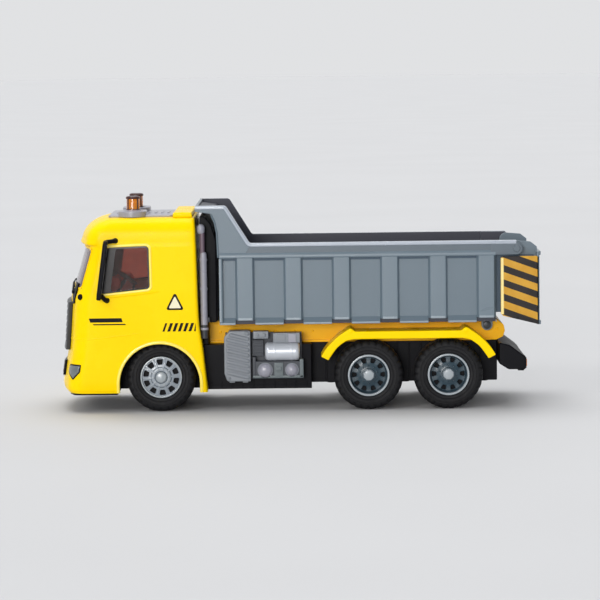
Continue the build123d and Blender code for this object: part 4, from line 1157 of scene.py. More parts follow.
def cab_at(z, q, off=0.0, side=1):
    """Point and outward direction on the cab. q runs 0..1 over the front, 1..2 round the corner, 2..3 along the side."""
    xr, xf, w, r, c, Rf, fx, cx, th = front_geo(cab_row(z))
    if q <= 1.0:
        a = th * q
        p, n = Vector((fx + Rf * cos(a), Rf * sin(a))), Vector((cos(a), sin(a)))
    elif q <= 2.0:
        a = th + (pi / 2 - th) * (q - 1)
        p, n = Vector((cx + r * cos(a), c + r * sin(a))), Vector((cos(a), sin(a)))
    else:
        p, n = Vector((cx + (xr + REAR_R - cx) * (q - 2), w)), Vector((0, 1))
    p = p + n * off
    return Vector((p.x, side * p.y, z)), Vector((n.x, side * n.y, 0))


def front_q(z, y):
    xr, xf, w, r, c, Rf, fx, cx, th = front_geo(cab_row(z))
    return asin(min(1, abs(y) / Rf)) / th


def side_y(z):
    return cab_row(z)[4]


SIDE_WINDOW = [(143.0, 124.3), (112.0, 125.3), (111.6, 93.2), (149.9, 89.4)]
SCREEN = [(-43.0, 94.0), (43.0, 94.0), (43.0, 122.8), (-43.0, 122.8)]
ARCH_X, ARCH_Z, ARCH_R = 105.2, 21.3, 30.4


def grown(pts, d):
    """Convex outline moved outwards by d."""
    c = Vector((sum(p[0] for p in pts) / len(pts), sum(p[1] for p in pts) / len(pts)))
    n = len(pts)
    out = []
    for i in range(n):
        p, a, b = Vector(pts[i]), Vector(pts[i - 1]), Vector(pts[(i + 1) % n])
        e1, e2 = (p - a).normalized(), (b - p).normalized()
        n1, n2 = Vector((e1.y, -e1.x)), Vector((e2.y, -e2.x))
        if n1.dot(p - c) < 0:
            n1 = -n1
        if n2.dot(p - c) < 0:
            n2 = -n2
        m = (n1 + n2)
        out.append(tuple(p + m * (d / max(0.2, 1 + n1.dot(n2)))))
    return out


def cab_block():
    rings = [outline(r) for r in SOFT_ROWS]
    inner = []
    for r in SOFT_ROWS:
        z = r[0]
        k = max(0.0, min(1.0, (z - 134.0) / 7.0))
        inner.append(outline(r, WALL, z - WALL * k))
    bm = bmesh.new()
    vo = [[bm.verts.new(p) for p in ring] for ring in rings]
    vi = [[bm.verts.new(p) for p in ring] for ring in inner]
    n = len(vo[0])
    for a, b in zip(vo, vo[1:]):
        for i in range(n):
            j = (i + 1) % n
            bm.faces.new((a[i], a[j], b[j], b[i]))
    for a, b in zip(vi, vi[1:]):
        for i in range(n):
            j = (i + 1) % n
            bm.faces.new((a[j], a[i], b[i], b[j]))
    for i in range(n):
        j = (i + 1) % n
        bm.faces.new((vo[0][j], vo[0][i], vi[0][i], vi[0][j]))
    bm.faces.new(vo[-1])
    bm.faces.new(vi[-1][::-1])
    bmesh.ops.recalc_face_normals(bm, faces=bm.faces)
    return bm


cab = cab_block()
cab = boolean(cab, prism(rounded(SIDE_WINDOW, 2.6, 6), "y", -70.0, 70.0))
cab = boolean(cab, prism(rounded(SCREEN, 3.0, 6), "x", 140.0, 190.0))
arch = [(ARCH_X - ARCH_R, 0.0)] + [(ARCH_X - ARCH_R * cos(pi * k / 48), ARCH_Z + ARCH_R * sin(pi * k / 48)) for k in range(49)] + [(ARCH_X + ARCH_R, 0.0)]
cab = boolean(cab, prism(arch, "y", -70.0, 70.0))
cab = boolean(cab, box(60.0, 85.0, -41.0, 41.0, 0.0, 60.0))

p = Part("cab_shell_visual", "chassis", "yellow", "cab_shell")
p.add(cab, "yellow")


def on_side(x, z, off, side):
    return Vector((x, side * (side_y(z) + off), z))


def side_frames(pts, off, side, closed=True):
    """Frames along a line on the cab's side."""
    n = len(pts)
    fr = []
    for i in range(n):
        if closed:
            a, b = Vector(pts[i - 1]), Vector(pts[(i + 1) % n])
        else:
            a, b = Vector(pts[max(i - 1, 0)]), Vector(pts[min(i + 1, n - 1)])
        d = (b - a).normalized()
        nrm = Vector((d.y, -d.x))
        fr.append((on_side(pts[i][0], pts[i][1], off, side), Vector((nrm.x, 0, nrm.y)), Vector((0, side, 0))))
    return fr


BEAD = [(-1.0, -0.6), (-0.92, 0.18), (-0.6, 0.52), (0.0, 0.62), (0.6, 0.52), (0.92, 0.18), (1.0, -0.6)]
for s in (1, -1):
    # frame round the side window, wider below, in a paler yellow as a painted highlight
    loop = rounded(grown(SIDE_WINDOW, 0.95), 3.3, 7)
    p.add(sweep(side_frames(loop, 0.0, s), BEAD), "yellow_painted_highlight")
    # sill that runs on behind the window
    line = [(152.2 - (152.2 - 104.5) * k / 24, 86.7 + (91.0 - 86.7) * k / 24) for k in range(25)]
    fr = side_frames(line, 0.0, s, closed=False)
    fr = [(a, b * (0.55 + 0.45 * min(1, i / 3, (24 - i) / 8)), c * (0.3 + 0.7 * min(1, i / 3, (24 - i) / 8))) for i, (a, b, c) in enumerate(fr)]
    p.add(sweep(fr, [(-1.3, -0.6), (-1.15, 0.35), (-0.6, 0.8), (0.35, 0.9), (1.0, 0.5), (1.3, -0.6)], closed=False), "yellow")
    # lip round the wheel arch, in a paler yellow as a painted highlight
    R = ARCH_R + 0.9
    line = [(ARCH_X + R, 14.7)] + [(ARCH_X + R * cos(pi * k / 60), ARCH_Z + R * sin(pi * k / 60)) for k in range(61)] + [(ARCH_X - R, 14.7)]
    line = [(x, z) for x, z in line]
    lip = []
    fr = side_frames(line, 0.0, s, closed=False)
    p.add(sweep(fr, [(-1.3, -1.6), (-1.2, 0.2), (-0.85, 0.65), (0.0, 0.85), (0.85, 0.65), (1.2, 0.2), (1.3, -1.6)], closed=False), "yellow_painted_highlight")
    # crease from the nose back to the arch
    line = [(157.0 - (157.0 - 121.0) * k / 20, 55.6 + (59.4 - 55.6) * k / 20) for k in range(21)]
    fr = side_frames(line, 0.0, s, closed=False)
    fr = [(a, b, c * (0.15 + 0.85 * min(1, (20 - i) / 6))) for i, (a, b, c) in enumerate(fr)]
    p.add(sweep(fr, [(-0.8, -0.5), (-0.5, 0.2), (0.0, 0.32), (0.5, 0.2), (0.8, -0.5)], closed=False), "yellow")
# the same crease round the nose
line = []
for k in range(-40, 41):
    q = 2.0 * k / 40
    s = 1 if q >= 0 else -1
    z = 55.6 - 1.3 * (1 - (abs(q) / 2.0)) ** 1.5
    pt, nn = cab_at(z, abs(q), 0.0, s)
    line.append((pt, Vector((0, 0, 1)), nn))
p.add(sweep(line, [(-0.8, -0.5), (-0.5, 0.2), (0.0, 0.32), (0.5, 0.2), (0.8, -0.5)], closed=False), "yellow")


def arc_q(z, y):
    """q of the point whose distance along the section from the middle of the front is |y|."""
    xr, xf, w, r, c, Rf, fx, cx, th = front_geo(cab_row(z))
    a = abs(y) / Rf
    return a / th if a <= th else 1.0 + (abs(y) - Rf * th) / (r * (pi / 2 - th))


def round_front(y, z, off):
    return cab_at(z, arc_q(z, y), off, 1 if y >= 0 else -1)[0]


# frame round the windscreen, which bends back at the corners
WRAP = 51.6
loop = rounded([(-WRAP, 93.2), (WRAP, 93.2), (WRAP, 123.5), (-WRAP, 123.5)], 3.6, 7)
steps = [max(1, int(max(abs(b[0] - a[0]), abs(b[1] - a[1])) / 3.0)) for a, b in zip(loop, loop[1:] + loop[:1])]
loop = [(a[0] + (b[0] - a[0]) * k / n, a[1] + (b[1] - a[1]) * k / n)
        for a, b, n in zip(loop, loop[1:] + loop[:1], steps) for k in range(n)]
fr = []
m = len(loop)
for i in range(m):
    y, z = loop[i]
    pt, nn = cab_at(z, arc_q(z, y), 0.0, 1 if y >= 0 else -1)
    a, b = loop[i - 1], loop[(i + 1) % m]
    d = Vector((b[0] - a[0], b[1] - a[1])).normalized()
    fr.append((pt, Vector((0, d.y, -d.x)), nn))
p.add(sweep(fr, [(-0.9, -0.6), (-0.8, 0.15), (-0.4, 0.45), (0.4, 0.45), (0.8, 0.15), (0.9, -0.6)]), "yellow")
for s in (1, -1):
    band = [(s * WRAP, 93.4), (s * WRAP, 123.3), (s * 42.6, 123.3), (s * 42.6, 93.4)]
    grid = [(s * (43.4 + 1.0 * i), 94.4 + 3.0 * k) for i in range(8) for k in range(10)]
    p.add(plate(band, lambda y, z: round_front(y, z, 0.12), lambda y, z: round_front(y, z, -0.3), (), grid), "screen_edge")
# peak along the visor
line = []
for k in range(-44, 45):
    q = 1.75 * k / 44
    pt, nn = cab_at(127.3, abs(q), 0.0, 1 if q >= 0 else -1)
    line.append((pt, Vector((0, 0, 1)), nn * (0.25 + 0.75 * min(1.0, (1.75 - abs(q)) / 0.5))))
p.add(sweep(line, [(-1.5, -0.6), (-1.3, 0.5), (-0.8, 1.35), (0.1, 1.6), (1.4, 1.0), (3.6, 0.25), (5.2, -0.5)], closed=False), "yellow")
p.done(sharp=50.0)

# printed marks: a blank triangle sign, hazard dashes, a plain double stripe
p = Part("cab_markings", "chassis", "black")
for s in (1, -1):
    tri = [(99.9, 77.0), (86.1, 77.0), (92.9, 90.6)]
    out_ = rounded(tri, 1.2, 4)
    in_ = rounded(grown(tri, -1.35), 0.6, 4)
    p.add(plate(out_, lambda x, z: on_side(x, z, 0.16, s), lambda x, z: on_side(x, z, -0.1, s), [in_]), "print")
    p.add(plate(grown(tri, -1.3), lambda x, z: on_side(x, z, 0.10, s), lambda x, z: on_side(x, z, -0.1, s)), "print_pale")
    for k in range(7):
        xb = 101.9 - k * 3.95
        wd = 2.15 if 0 < k < 6 else 1.5
        zt, zb = 67.2, 60.9
        lean = 2.3
        d = [(xb + wd / 2, zb), (xb - wd / 2, zb), (xb - wd / 2 - lean, zt), (xb + wd / 2 - lean, zt)]
        d = [(max(x, 77.6), z) for x, z in d]
        p.add(plate(d, lambda x, z: on_side(x, z, 0.16, s), lambda x, z: on_side(x, z, -0.1, s)), "print")
    for z0, z1, x0, x1 in ((68.3, 71.4, 156.6, 132.2), (66.2, 67.1, 154.0, 129.5)):
        d = rounded([(x0, z0), (x1, z0), (x1 + 1.0, z1), (x0 + 1.0, z1)], 0.3, 3)
        p.add(plate(d, lambda x, z: on_side(x, z, 0.16, s), lambda x, z: on_side(x, z, -0.1, s)), "print")
p.done()

# panes
p = Part("side_windows_visual", "chassis", "screen", "side_windows")
for s in (1, -1):
    o = rounded(grown(SIDE_WINDOW, -0.04), 2.6, 6)
    g = rounded([(136.6, 123.2), (113.2, 124.1), (112.8, 94.2), (141.0, 91.4)], [2.0, 2.0, 2.0, 2.0], 6)
    p.add(plate(o, lambda x, z: on_side(x, z, -0.75, s), lambda x, z: on_side(x, z, -1.9, s)), "glass")
    # black ring round the pane, wide towards the front: a dark sheet as painted shade for the window's inner edge and
    # pillar
    p.add(plate(o, lambda x, z: on_side(x, z, -0.25, s), lambda x, z: on_side(x, z, -0.8, s), [g]), "black_gloss")
p.done()


def on_front(y, z, off):
    pt, nn = cab_at(z, front_q(z, y), off, 1 if y >= 0 else -1)
    return pt


p = Part("windshield_visual", "chassis", "screen", "windshield")
o = rounded(grown(SCREEN, -0.04), 3.0, 6)
grid = [(-42 + 3.0 * i, 95 + 4.4 * k) for i in range(29) for k in range(7)]
p.add(plate(o, lambda y, z: on_front(y, z, -0.5), lambda y, z: on_front(y, z, -1.8), (), grid), "screen")
p.done()

# cab inside
p = Part("cab_floor_visual", "chassis", "interior", "cab_floor")
r0 = cab_row(59.0)
o = [(x, y) for x, y, z in outline(r0, WALL + 0.05)]
p.add(prism(o, "z", 58.0, 60.0), "interior", 0.3)
p.done()

p = Part("dashboard_visual", "chassis", "interior", "dashboard")
dash = rounded([(167.6, 60.2), (167.6, 89.3), (150.0, 92.3), (143.4, 90.0), (142.2, 82.0), (150.0, 76.0), (152.0, 60.2)], [0, 1, 3, 2, 2, 3, 0], 4)
p.add(prism(dash, "y", -46.0, 46.0), "interior", 0.8)
# instrument cowl ahead of the wheel, vents, glove box
p.add(prism(rounded([(141.5, 88.0), (148.0, 88.0), (146.0, 97.5), (141.8, 99.8), (136.5, 100.4), (134.6, 97.2), (135.8, 92.0)], 1.4, 4), "y", 16.0, 36.0),
      "interior_red", 0.7)
p.add(prism(rounded([(150.0, 78.0), (150.0, 92.0), (141.0, 92.0), (140.2, 99.4), (136.5, 100.6), (129.2, 100.2), (127.2, 97.0), (128.0, 82.0), (131.0, 78.0)],
                    [0.5, 0.5, 1.0, 1.6, 2.0, 1.6, 2.0, 2.0, 1.0], 4), "y", -11.5, 11.5), "interior_red", 0.8)
for k in range(3):
    p.add(lathe([(-0.2, 1.7), (1.0, 1.6), (1.4, 1.2), (1.5, 0.0)], (127.6, -6.0 + k * 6.0, 90.0), (-1, 0, 0), 20), "interior")
p.add(prism(rounded([(-38.0, 80.0), (-12.5, 80.0), (-12.5, 87.5), (-38.0, 87.5)], 1.2, 4), "x", 142.2, 143.6), "interior", 0.3)
for y in (-43.0, -8.0, 8.0, 43.0):
    for k in range(4):
        p.add(box(142.3, 143.6, y - 3.0, y + 3.0, 83.0 + k * 1.5, 83.8 + k * 1.5), "interior", 0.15, 1)
p.done()

for s, name in ((1, "driver_seat"), (-1, "passenger_seat")):
    p = Part(name + "_visual", "chassis", "interior", name)
    yc = s * 26.0
    # seat pad, back and head rest as crowned shells
    def pad(x0, x1, z0, z1, w, crown, tilt=0.0, yc=yc):
        secs = []
        for k in range(9):
            t = k / 8
            x = x0 + (x1 - x0) * t
            e = sin(pi * t) ** 0.35
            ring = []
            hw = w / 2 * (0.86 + 0.14 * e)
            top = z1 + crown * e
            shape = rounded([(-hw, z0), (hw, z0), (hw, top), (-hw, top)], 2.6 * (0.4 + 0.6 * e), 4)
            secs.append([Vector((x, yc + u, v + tilt * t)) for u, v in shape])
        return loft(secs)
    p.add(pad(85.0, 115.6, 60.4, 74.6, 31.0, 1.6, 0.6), "seat")
    secs = []
    for k in range(11):
        t = k / 10
        z = 73.0 + 38.6 * t
        e = sin(pi * min(1, t + 0.06)) ** 0.35
        xb, xf_ = 84.2 - 1.6 * t, 97.0 - 5.2 * t
        hw = 15.4 * (0.88 + 0.12 * e) * (1.0 - 0.12 * t)
        shape = rounded([(xb, -hw), (xf_, -hw), (xf_, hw), (xb, hw)], 3.0, 4)
        secs.append([Vector((u, yc + v, z)) for u, v in shape])
    p.add(loft(secs), "seat", 0.0)
    for dy in (-5.5, 0.0, 5.5):
        path = [(95.6 - 0.135 * k, yc + dy, 76.5 + k) for k in range(0, 30, 3)]
        p.add(tube(path, 0.55, 8), "interior")
    p.done()

p = Part("steering_wheel_visual", "chassis", "interior", "steering_wheel")
SW = Vector((131.0, 26.0, 99.0))
up = Vector((-sin(radians(35)), 0, cos(radians(35))))
e1 = Vector((0, 1, 0))
e2 = up.cross(e1)
fr = [(SW + up * 0.8 + (e1 * cos(a) + e2 * sin(a)) * 8.5, (e1 * cos(a) + e2 * sin(a)), up) for a in [2 * pi * i / 48 for i in range(48)]]
p.add(sweep(fr, [(0.95 * cos(2 * pi * j / 10), 0.95 * sin(2 * pi * j / 10)) for j in range(10)]), "interior")
p.add(lathe([(0.1, 0.0), (0.1, 2.6), (1.5, 2.4), (1.8, 1.6), (1.8, 0.0)], SW, up, 24), "interior")
for a in (0.0, pi, -pi / 2):
    d = e1 * cos(a) + e2 * sin(a)
    p.add(tube([SW + up * 0.9 + d * 2.0, SW + up * 0.9 + d * 5.0, SW + up * 0.9 + d * 8.0], [0.9, 0.7, 0.8], 10), "interior")
p.add(tube([SW, SW - up * 6.0, SW - up * 14.0], [1.5, 1.6, 1.6], 14), "interior")
p.done()


# front panels --------------------------------------------------------------
def front_band(y0, y1, z0, z1, off0, off1, ny=24):
    """Curved block on the cab's front between two heights."""
    secs = []
    for k in range(ny + 1):
        y = y0 + (y1 - y0) * k / ny
        s = 1 if y >= 0 else -1
        ring = []
        for z, off in ((z0, off0), (z0, off1), (z1, off1), (z1, off0)):
            pt, nn = cab_at(z, front_q(z, y), off, s)
            ring.append(pt)
        secs.append(ring)
    return loft(secs)


p = Part("front_grille_visual", "chassis", "black", "front_grille")
p.add(front_band(-35.0, 35.0, 46.0, 82.0, -0.6, 0.7), "black", 0.3)
for k in range(7):
    z = 47.8 + k * 4.72
    p.add(front_band(-33.4, 33.4, z, z + 3.0, 0.3, 3.1), "grille", 0.65, 2)
for (y0, y1) in ((-35.0, -32.8), (32.8, 35.0)):
    p.add(front_band(y0, y1, 46.0, 82.0, 0.2, 3.25, 3), "grille", 0.5)
p.add(front_band(-35.0, 35.0, 80.2, 82.0, 0.2, 3.25), "grille", 0.45)
p.add(front_band(-35.0, 35.0, 46.0, 47.6, 0.2, 3.25), "grille", 0.4)
for y in (-16.5, 0.0, 16.5):
    p.add(front_band(y - 0.6, y + 0.6, 47.0, 81.0, 0.2, 2.6, 2), "black", 0.2, 1)
p.done()

p = Part("lower_grille_visual", "chassis", "black", "lower_grille")
p.add(front_band(-28.0, 28.0, 26.0, 37.5, -0.5, 0.6), "black", 0.3)
for k in range(3):
    z = 27.2 + k * 3.3
    p.add(front_band(-27.0, 27.0, z, z + 1.9, 0.3, 1.9), "grille", 0.45)
for (y0, y1) in ((-28.0, -26.4), (26.4, 28.0)):
    p.add(front_band(y0, y1, 26.0, 37.5, 0.2, 2.0, 2), "black", 0.35)
p.add(front_band(-20.0, 20.0, 19.3, 24.2, -0.4, 0.7), "print_pale", 0.25)
p.done()

# head lamps that wrap round the corner, pointed below
p = Part("headlamps_visual", "chassis", "lamp_clear", "headlamps")
for s in (1, -1):
    nq = 30
    q0, q1 = 1.02, 1.70
    cols_o, cols_i = [], []
    for k in range(nq + 1):
        t = k / nq
        q = q0 + (q1 - q0) * t
        # lower edge: rises to the front, a point below the corner, rises to the rear
        qc = 1.42
        if q < qc:
            zl = 25.4 + min(4.6, (qc - q) * 12.0)
        else:
            zl = 25.4 + (q - qc) / (q1 - qc) * 5.6
        zt = 36.0 - (0.9 * (1 - t / 0.12) if t < 0.12 else 0.0)
        col = []
        for m_ in range(9):
            v = m_ / 8
            z = zl + (zt - zl) * v
            bulge = 0.85 * (1 - abs(2 * v - 1) ** 4) * (1 - abs(2 * t - 1) ** 10)
            col.append((q, z, bulge))
        cols_o.append(col)
    bm = bmesh.new()
    vo = [[bm.verts.new(cab_at(z, q, 0.05 + b, s)[0]) for q, z, b in col] for col in cols_o]
    vi = [[bm.verts.new(cab_at(z, q, -0.6, s)[0]) for q, z, b in col] for col in cols_o]
    for i in range(nq):
        for j in range(8):
            bm.faces.new((vo[i][j], vo[i + 1][j], vo[i + 1][j + 1], vo[i][j + 1]))
            bm.faces.new((vi[i][j], vi[i][j + 1], vi[i + 1][j + 1], vi[i + 1][j]))
        bm.faces.new((vo[i][0], vi[i][0], vi[i + 1][0], vo[i + 1][0]))
        bm.faces.new((vo[i][8], vo[i + 1][8], vi[i + 1][8], vi[i][8]))
    for j in range(8):
        bm.faces.new((vo[0][j], vo[0][j + 1], vi[0][j + 1], vi[0][j]))
        bm.faces.new((vo[nq][j], vi[nq][j], vi[nq][j + 1], vo[nq][j + 1]))
    bmesh.ops.recalc_face_normals(bm, faces=bm.faces)
    p.add(bm, "lamp")
    # thin bezel along its edge
    edge = [(q, z) for q, z, b in cols_o[0]] + [(c[8][0], c[8][1]) for c in cols_o[1:]] + [(q, z) for q, z, b in reversed(cols_o[-1][:-1])] + \
        [(c[0][0], c[0][1]) for c in reversed(cols_o[1:-1])]
    fr = []
    m_ = len(edge)
    for i in range(m_):
        pt, nn = cab_at(edge[i][1], edge[i][0], 0.0, s)
        a = cab_at(edge[i - 1][1], edge[i - 1][0], 0.0, s)[0]
        b = cab_at(edge[(i + 1) % m_][1], edge[(i + 1) % m_][0], 0.0, s)[0]
        d = (b - a).normalized()
        side_ = d.cross(nn).normalized()
        fr.append((pt, side_, nn))
    p.add(sweep(fr, [(-0.55, -0.4), (-0.48, 0.35), (0.0, 0.6), (0.42, 0.35), (0.5, -0.4)]), "black")
p.done()

# wipers: spindle, arm and blade on each side, with the black cowl ends seen from the side
p = Part("wipers_visual", "chassis", "black", "wipers")
cow = []
for k in range(-26, 27):
    y = 40.0 * k / 26
    s = 1 if y >= 0 else -1
    pt, nn = cab_at(90.4, front_q(90.4, y), 0.0, s)
    cow.append((pt, Vector((0, 0, 1)), nn))
p.add(sweep(cow, [(-1.5, -0.6), (-1.3, 0.7), (-0.4, 1.2), (0.8, 1.0), (1.5, 0.2), (1.6, -0.6)], closed=False), "black")
for s in (1, -1):
    pt, nn = cab_at(88.2, 1.0, 0.0, s)
    for ys, ye in ((36.0, 8.0),):
        p0, n0 = cab_at(90.0, front_q(90.0, ys), 0.0, s)
        p.add(lathe([(-0.5, 1.5), (2.0, 1.5), (2.6, 1.1), (2.7, 0.0)], p0, n0, 20), "black")
        path = []
        for k in range(13):
            t = k / 12
            y = ys + (ye - ys) * t
            z = 90.6 + 5.2 * sin(pi / 2 * min(1, t * 1.4))
            q, nn = cab_at(z, front_q(z, y), 1.9 - 0.9 * t, s)
            path.append(q)
        p.add(tube(path, [0.85 - 0.35 * k / 12 for k in range(13)], 8), "black")
        blade = []
        for k in range(15):
            t = k / 14
            y = 31.0 - 29.0 * t
            z = 93.4 + 3.4 * t
            q, nn = cab_at(z, front_q(z, y), 0.55, s)
            blade.append((q, Vector((0, 0, 1)), nn))
        p.add(sweep(blade, [(-0.5, -0.3), (-0.35, 0.5), (0.35, 0.5), (0.5, -0.3)], closed=False), "black")
    # black wedge at the foot of the screen pillar, and a small boss on the corner
    wedge = [(38.4, 97.0), (44.6, 97.0), (45.4, 90.0), (45.4, 82.0), (42.0, 81.5), (36.0, 88.0)]
    o = rounded(wedge if s > 0 else [(-y, z) for y, z in wedge], 0.9, 4)
    p.add(plate(o, lambda y, z: cab_at(z, front_q(z, y), 1.3, 1 if y >= 0 else -1)[0],
                lambda y, z: cab_at(z, front_q(z, y), -0.3, 1 if y >= 0 else -1)[0]), "black", 0.35, 2, 40)
    pt, nn = cab_at(87.2, 1.40, 0.0, s)
    p.add(lathe([(-0.8, 2.3), (0.5, 2.3), (1.1, 1.9), (1.3, 0.0)], pt, nn, 24), "black")
p.done()

# mirrors
for s, name in ((1, "left_mirror"), (-1, "right_mirror")):
    p = Part(name + "_visual", "chassis", "black", name)
    lean = Vector((-5.9, 0, 42.3)).normalized()
    fwd = lean.cross(Vector((0, 1, 0))).normalized()
    if fwd.x < 0:
        fwd = -fwd
    base = Vector((149.4, s * 63.5, 85.8))
    secs = []
    for k in range(15):
        t = k / 14
        e = 0.70 if k in (0, 14) else (0.93 if k in (1, 13) else 1.0)
        shape = rounded([(-5.9 * e, -1.75 * e), (5.9 * e, -1.75 * e), (5.9 * e, 1.75 * e), (-5.9 * e, 1.75 * e)], [0.8, 0.8, 1.6, 1.6], 4)
        zt = 0.0 if k == 0 else (44.7 if k == 14 else 0.7 + 43.3 * (k - 1) / 12)
        secs.append([base + lean * zt + Vector((0, u, 0)) + fwd * v for u, v in shape])
    p.add(loft(secs), "black")
    # mirror faces, large and small, towards the rear
    for z0, z1 in ((5.0, 29.5), (31.5, 41.7)):
        o = rounded([(-4.6, z0), (4.6, z0), (4.6, z1), (-4.6, z1)], 1.3, 4)
        p.add(plate(o, lambda u, v: base + lean * v + Vector((0, u, 0)) + fwd * -1.8, lambda u, v: base + lean * v + Vector((0, u, 0)) + fwd * -1.1), "mirror")
    # arms from the cab's side, with their feet
    for (xa, za), hb in (((136.8, 129.4), 43.4), ((143.8, 84.8), 3.8)):
        y = side_y(za)
        end = base + lean * hb + Vector((0, -s * 4.6, 0))
        foot = Vector((xa, s * (y - 0.3), za))
        path = arc_path([foot, Vector((xa + 0.8, s * (y + 2.2), za)), Vector((xa * 0.35 + end.x * 0.65, s * (y + 3.6), za * 0.35 + end.z * 0.65)), end], 2.0, 5)
        p.add(tube(path, 1.65, 14), "black")
        p.add(lathe([(-0.4, 2.1), (0.6, 2.1), (1.2, 1.7), (1.4, 0.0)], Vector((xa, s * y, za)), (0, s, 0), 24), "black")
    p.done()

# roof: press plate with sockets, beacons, raised rear edge
p = Part("roof_plate_visual", "chassis", "light_grey", "roof_plate")
p.add(prism(rounded([(94.4, -37.0), (143.0, -37.0), (143.0, 37.0), (94.4, 37.0)], 3.0, 6), "z", 145.6, 147.3), "grey_light", 0.6, 3)
for s in (1, -1):
    slot = [(125.0 + 10.6 * cos(pi * k / 24), s * (34.0 + 10.6 * sin(pi * k / 24))) for k in range(25)] + \
        [(125.0 - 10.6 * cos(pi * k / 24), s * (22.0 - 10.6 * sin(pi * k / 24))) for k in range(25)]
    p.add(prism(slot, "z", 145.9, 150.4), "grey_light", 0.6, 3, 50)
    p.add(prism([(125.0 + (x - 125.0) * 0.62, s * 28.0 + (y - s * 28.0) * 0.62) for x, y in slot], "z", 150.1, 150.85), "grey_light", 0.25, 2, 50)
for i in range(9):
    x = 99.0 + i * 4.8
    p.add(prism(rounded([(x - 0.9, -11.0), (x + 0.9, -11.0), (x + 0.9, 11.0), (x - 0.9, 11.0)], 0.85, 4), "z", 147.1, 147.8), "grey_light", 0.25)
p.done()

p = Part("beacons_visual", "chassis", "lamp_orange", "beacons")
for s in (1, -1):
    c = (125.0, s * 22.0, 0)
    p.add(lathe([(150.4, 5.2), (151.4, 5.2), (151.8, 5.0), (158.6, 4.9), (159.6, 4.6), (159.6, 0.0), (150.4, 0.0)], c, (0, 0, 1), 48), "beacon")
    # dark foot, domed cap and the thin cage bars between them
    p.add(lathe([(150.3, 5.5), (151.0, 5.5), (151.3, 5.2), (151.3, 4.2), (150.3, 4.2)], c, (0, 0, 1), 48), "beacon_dark")
    p.add(lathe([(159.0, 4.4), (159.0, 5.3), (159.5, 5.5), (160.2, 5.4), (160.8, 4.9), (161.1, 3.8), (161.2, 0.0), (159.0, 0.0)], c, (0, 0, 1), 48), "beacon_dark")
    for k in range(4):
        a = 2 * pi * (k + 0.5) / 4
        d = Vector((cos(a), sin(a), 0))
        p.add(tube([Vector(c) + d * 4.95 + Vector((0, 0, 151.0)), Vector(c) + d * 4.95 + Vector((0, 0, 155.0)), Vector(c) + d * 4.9 + Vector((0, 0, 159.3))], 0.6, 10), "beacon_dark")
p.done()

p = Part("roof_box_visual", "chassis", "yellow", "roof_box")
p.add(prism([(79.2, 145.7), (94.2, 145.7), (93.8, 149.4), (79.8, 149.4)], "y", -45.0, 45.0), "yellow", 1.1, 3)
p.done()

# behind the cab
p = Part("exhaust_stacks_visual", "chassis", "light_grey", "exhaust_stacks")
for s in (1, -1):
    y = s * 49.0
    p.add(lathe([(54.6, 0.0), (54.6, 2.2), (55.0, 2.6), (65.0, 2.6), (65.0, 0.0)], (71.4, y, 0), (0, 0, 1), 32), "grille")
    p.add(lathe([(64.6, 0.0), (64.6, 2.55), (65.2, 2.6), (116.8, 2.6), (118.6, 2.35), (119.6, 1.85), (119.6, 0.0)], (71.4, y, 0), (0, 0, 1), 32), "grey_light")
    p.add(lathe([(119.0, 0.0), (119.0, 1.9), (134.4, 1.9), (134.4, 0.0)], (72.1, y, 0), (0, 0, 1), 28), "stack_dark")
    p.add(lathe([(133.6, 0.0), (133.6, 1.9), (134.3, 2.6), (135.6, 2.95), (137.4, 3.0), (138.9, 2.75), (140.0, 2.1), (140.6, 1.1), (140.8, 0.0)], (72.9, y, 0), (0, 0, 1), 28), "grey_light")
    for z in (62.0, 92.0, 114.0):
        p.add(lathe([(z - 0.9, 2.5), (z - 0.9, 2.9), (z - 0.6, 3.05), (z + 0.6, 3.05), (z + 0.9, 2.9), (z + 0.9, 2.5)], (71.4, y, 0), (0, 0, 1), 32), "grey_light")
    # slots of the heat shield
    for k in range(9):
        z = 97.0 + k * 1.9
        p.add(lathe([(z - 0.35, 2.45), (z - 0.35, 2.72), (z + 0.35, 2.72), (z + 0.35, 2.45)], (71.4, y, 0), (0, 0, 1), 28), "grey_light")
    p.add(box(67.2, 73.0, min(s * 41.5, s * 48.0), max(s * 41.5, s * 48.0), 66.6, 70.4), "grille", 0.5)
p.done()

p = Part("rear_tower_visual", "chassis", "black", "rear_tower")
p.add(prism([(62.0, 66.0), (68.6, 66.0), (68.6, 49.1), (72.2, 49.1), (74.2, 66.0), (74.2, 146.4), (70.0, 145.4), (65.6, 140.0), (62.0, 128.0)], "y", -42.0, 42.0), "black", 0.9, 2)
for k in range(12):
    z = 72.0 + k * 4.6
    p.add(box(61.3, 62.4, -34.0, 34.0, z, z + 2.3), "black", 0.35)
for y in (-38.5, 38.5):
    p.add(box(61.2, 62.4, y - 1.2, y + 1.2, 67.0, 127.0), "black", 0.35)
p.done()

# ===========================================================================
# bed
# ===========================================================================
BED_X0, BED_X1 = -147.3, 59.6
RAIL_Z1 = 126.3
HEAD_OUTER = [(59.6, 113.7), (60.4, 134.5), (62.0, 142.7), (64.9, 148.6), (77.1, 150.4)]
RAIL_POLY = [(59.6, 115.0), (-147.3, 115.0), (-147.3, 126.3), (36.5, 126.3), (54.1, 154.6), (77.1, 154.6),
             (77.1, 150.4), (64.9, 148.6), (62.0, 142.7), (60.4, 134.5)]
GATE_X, GATE_Z = -163.0, 120.1


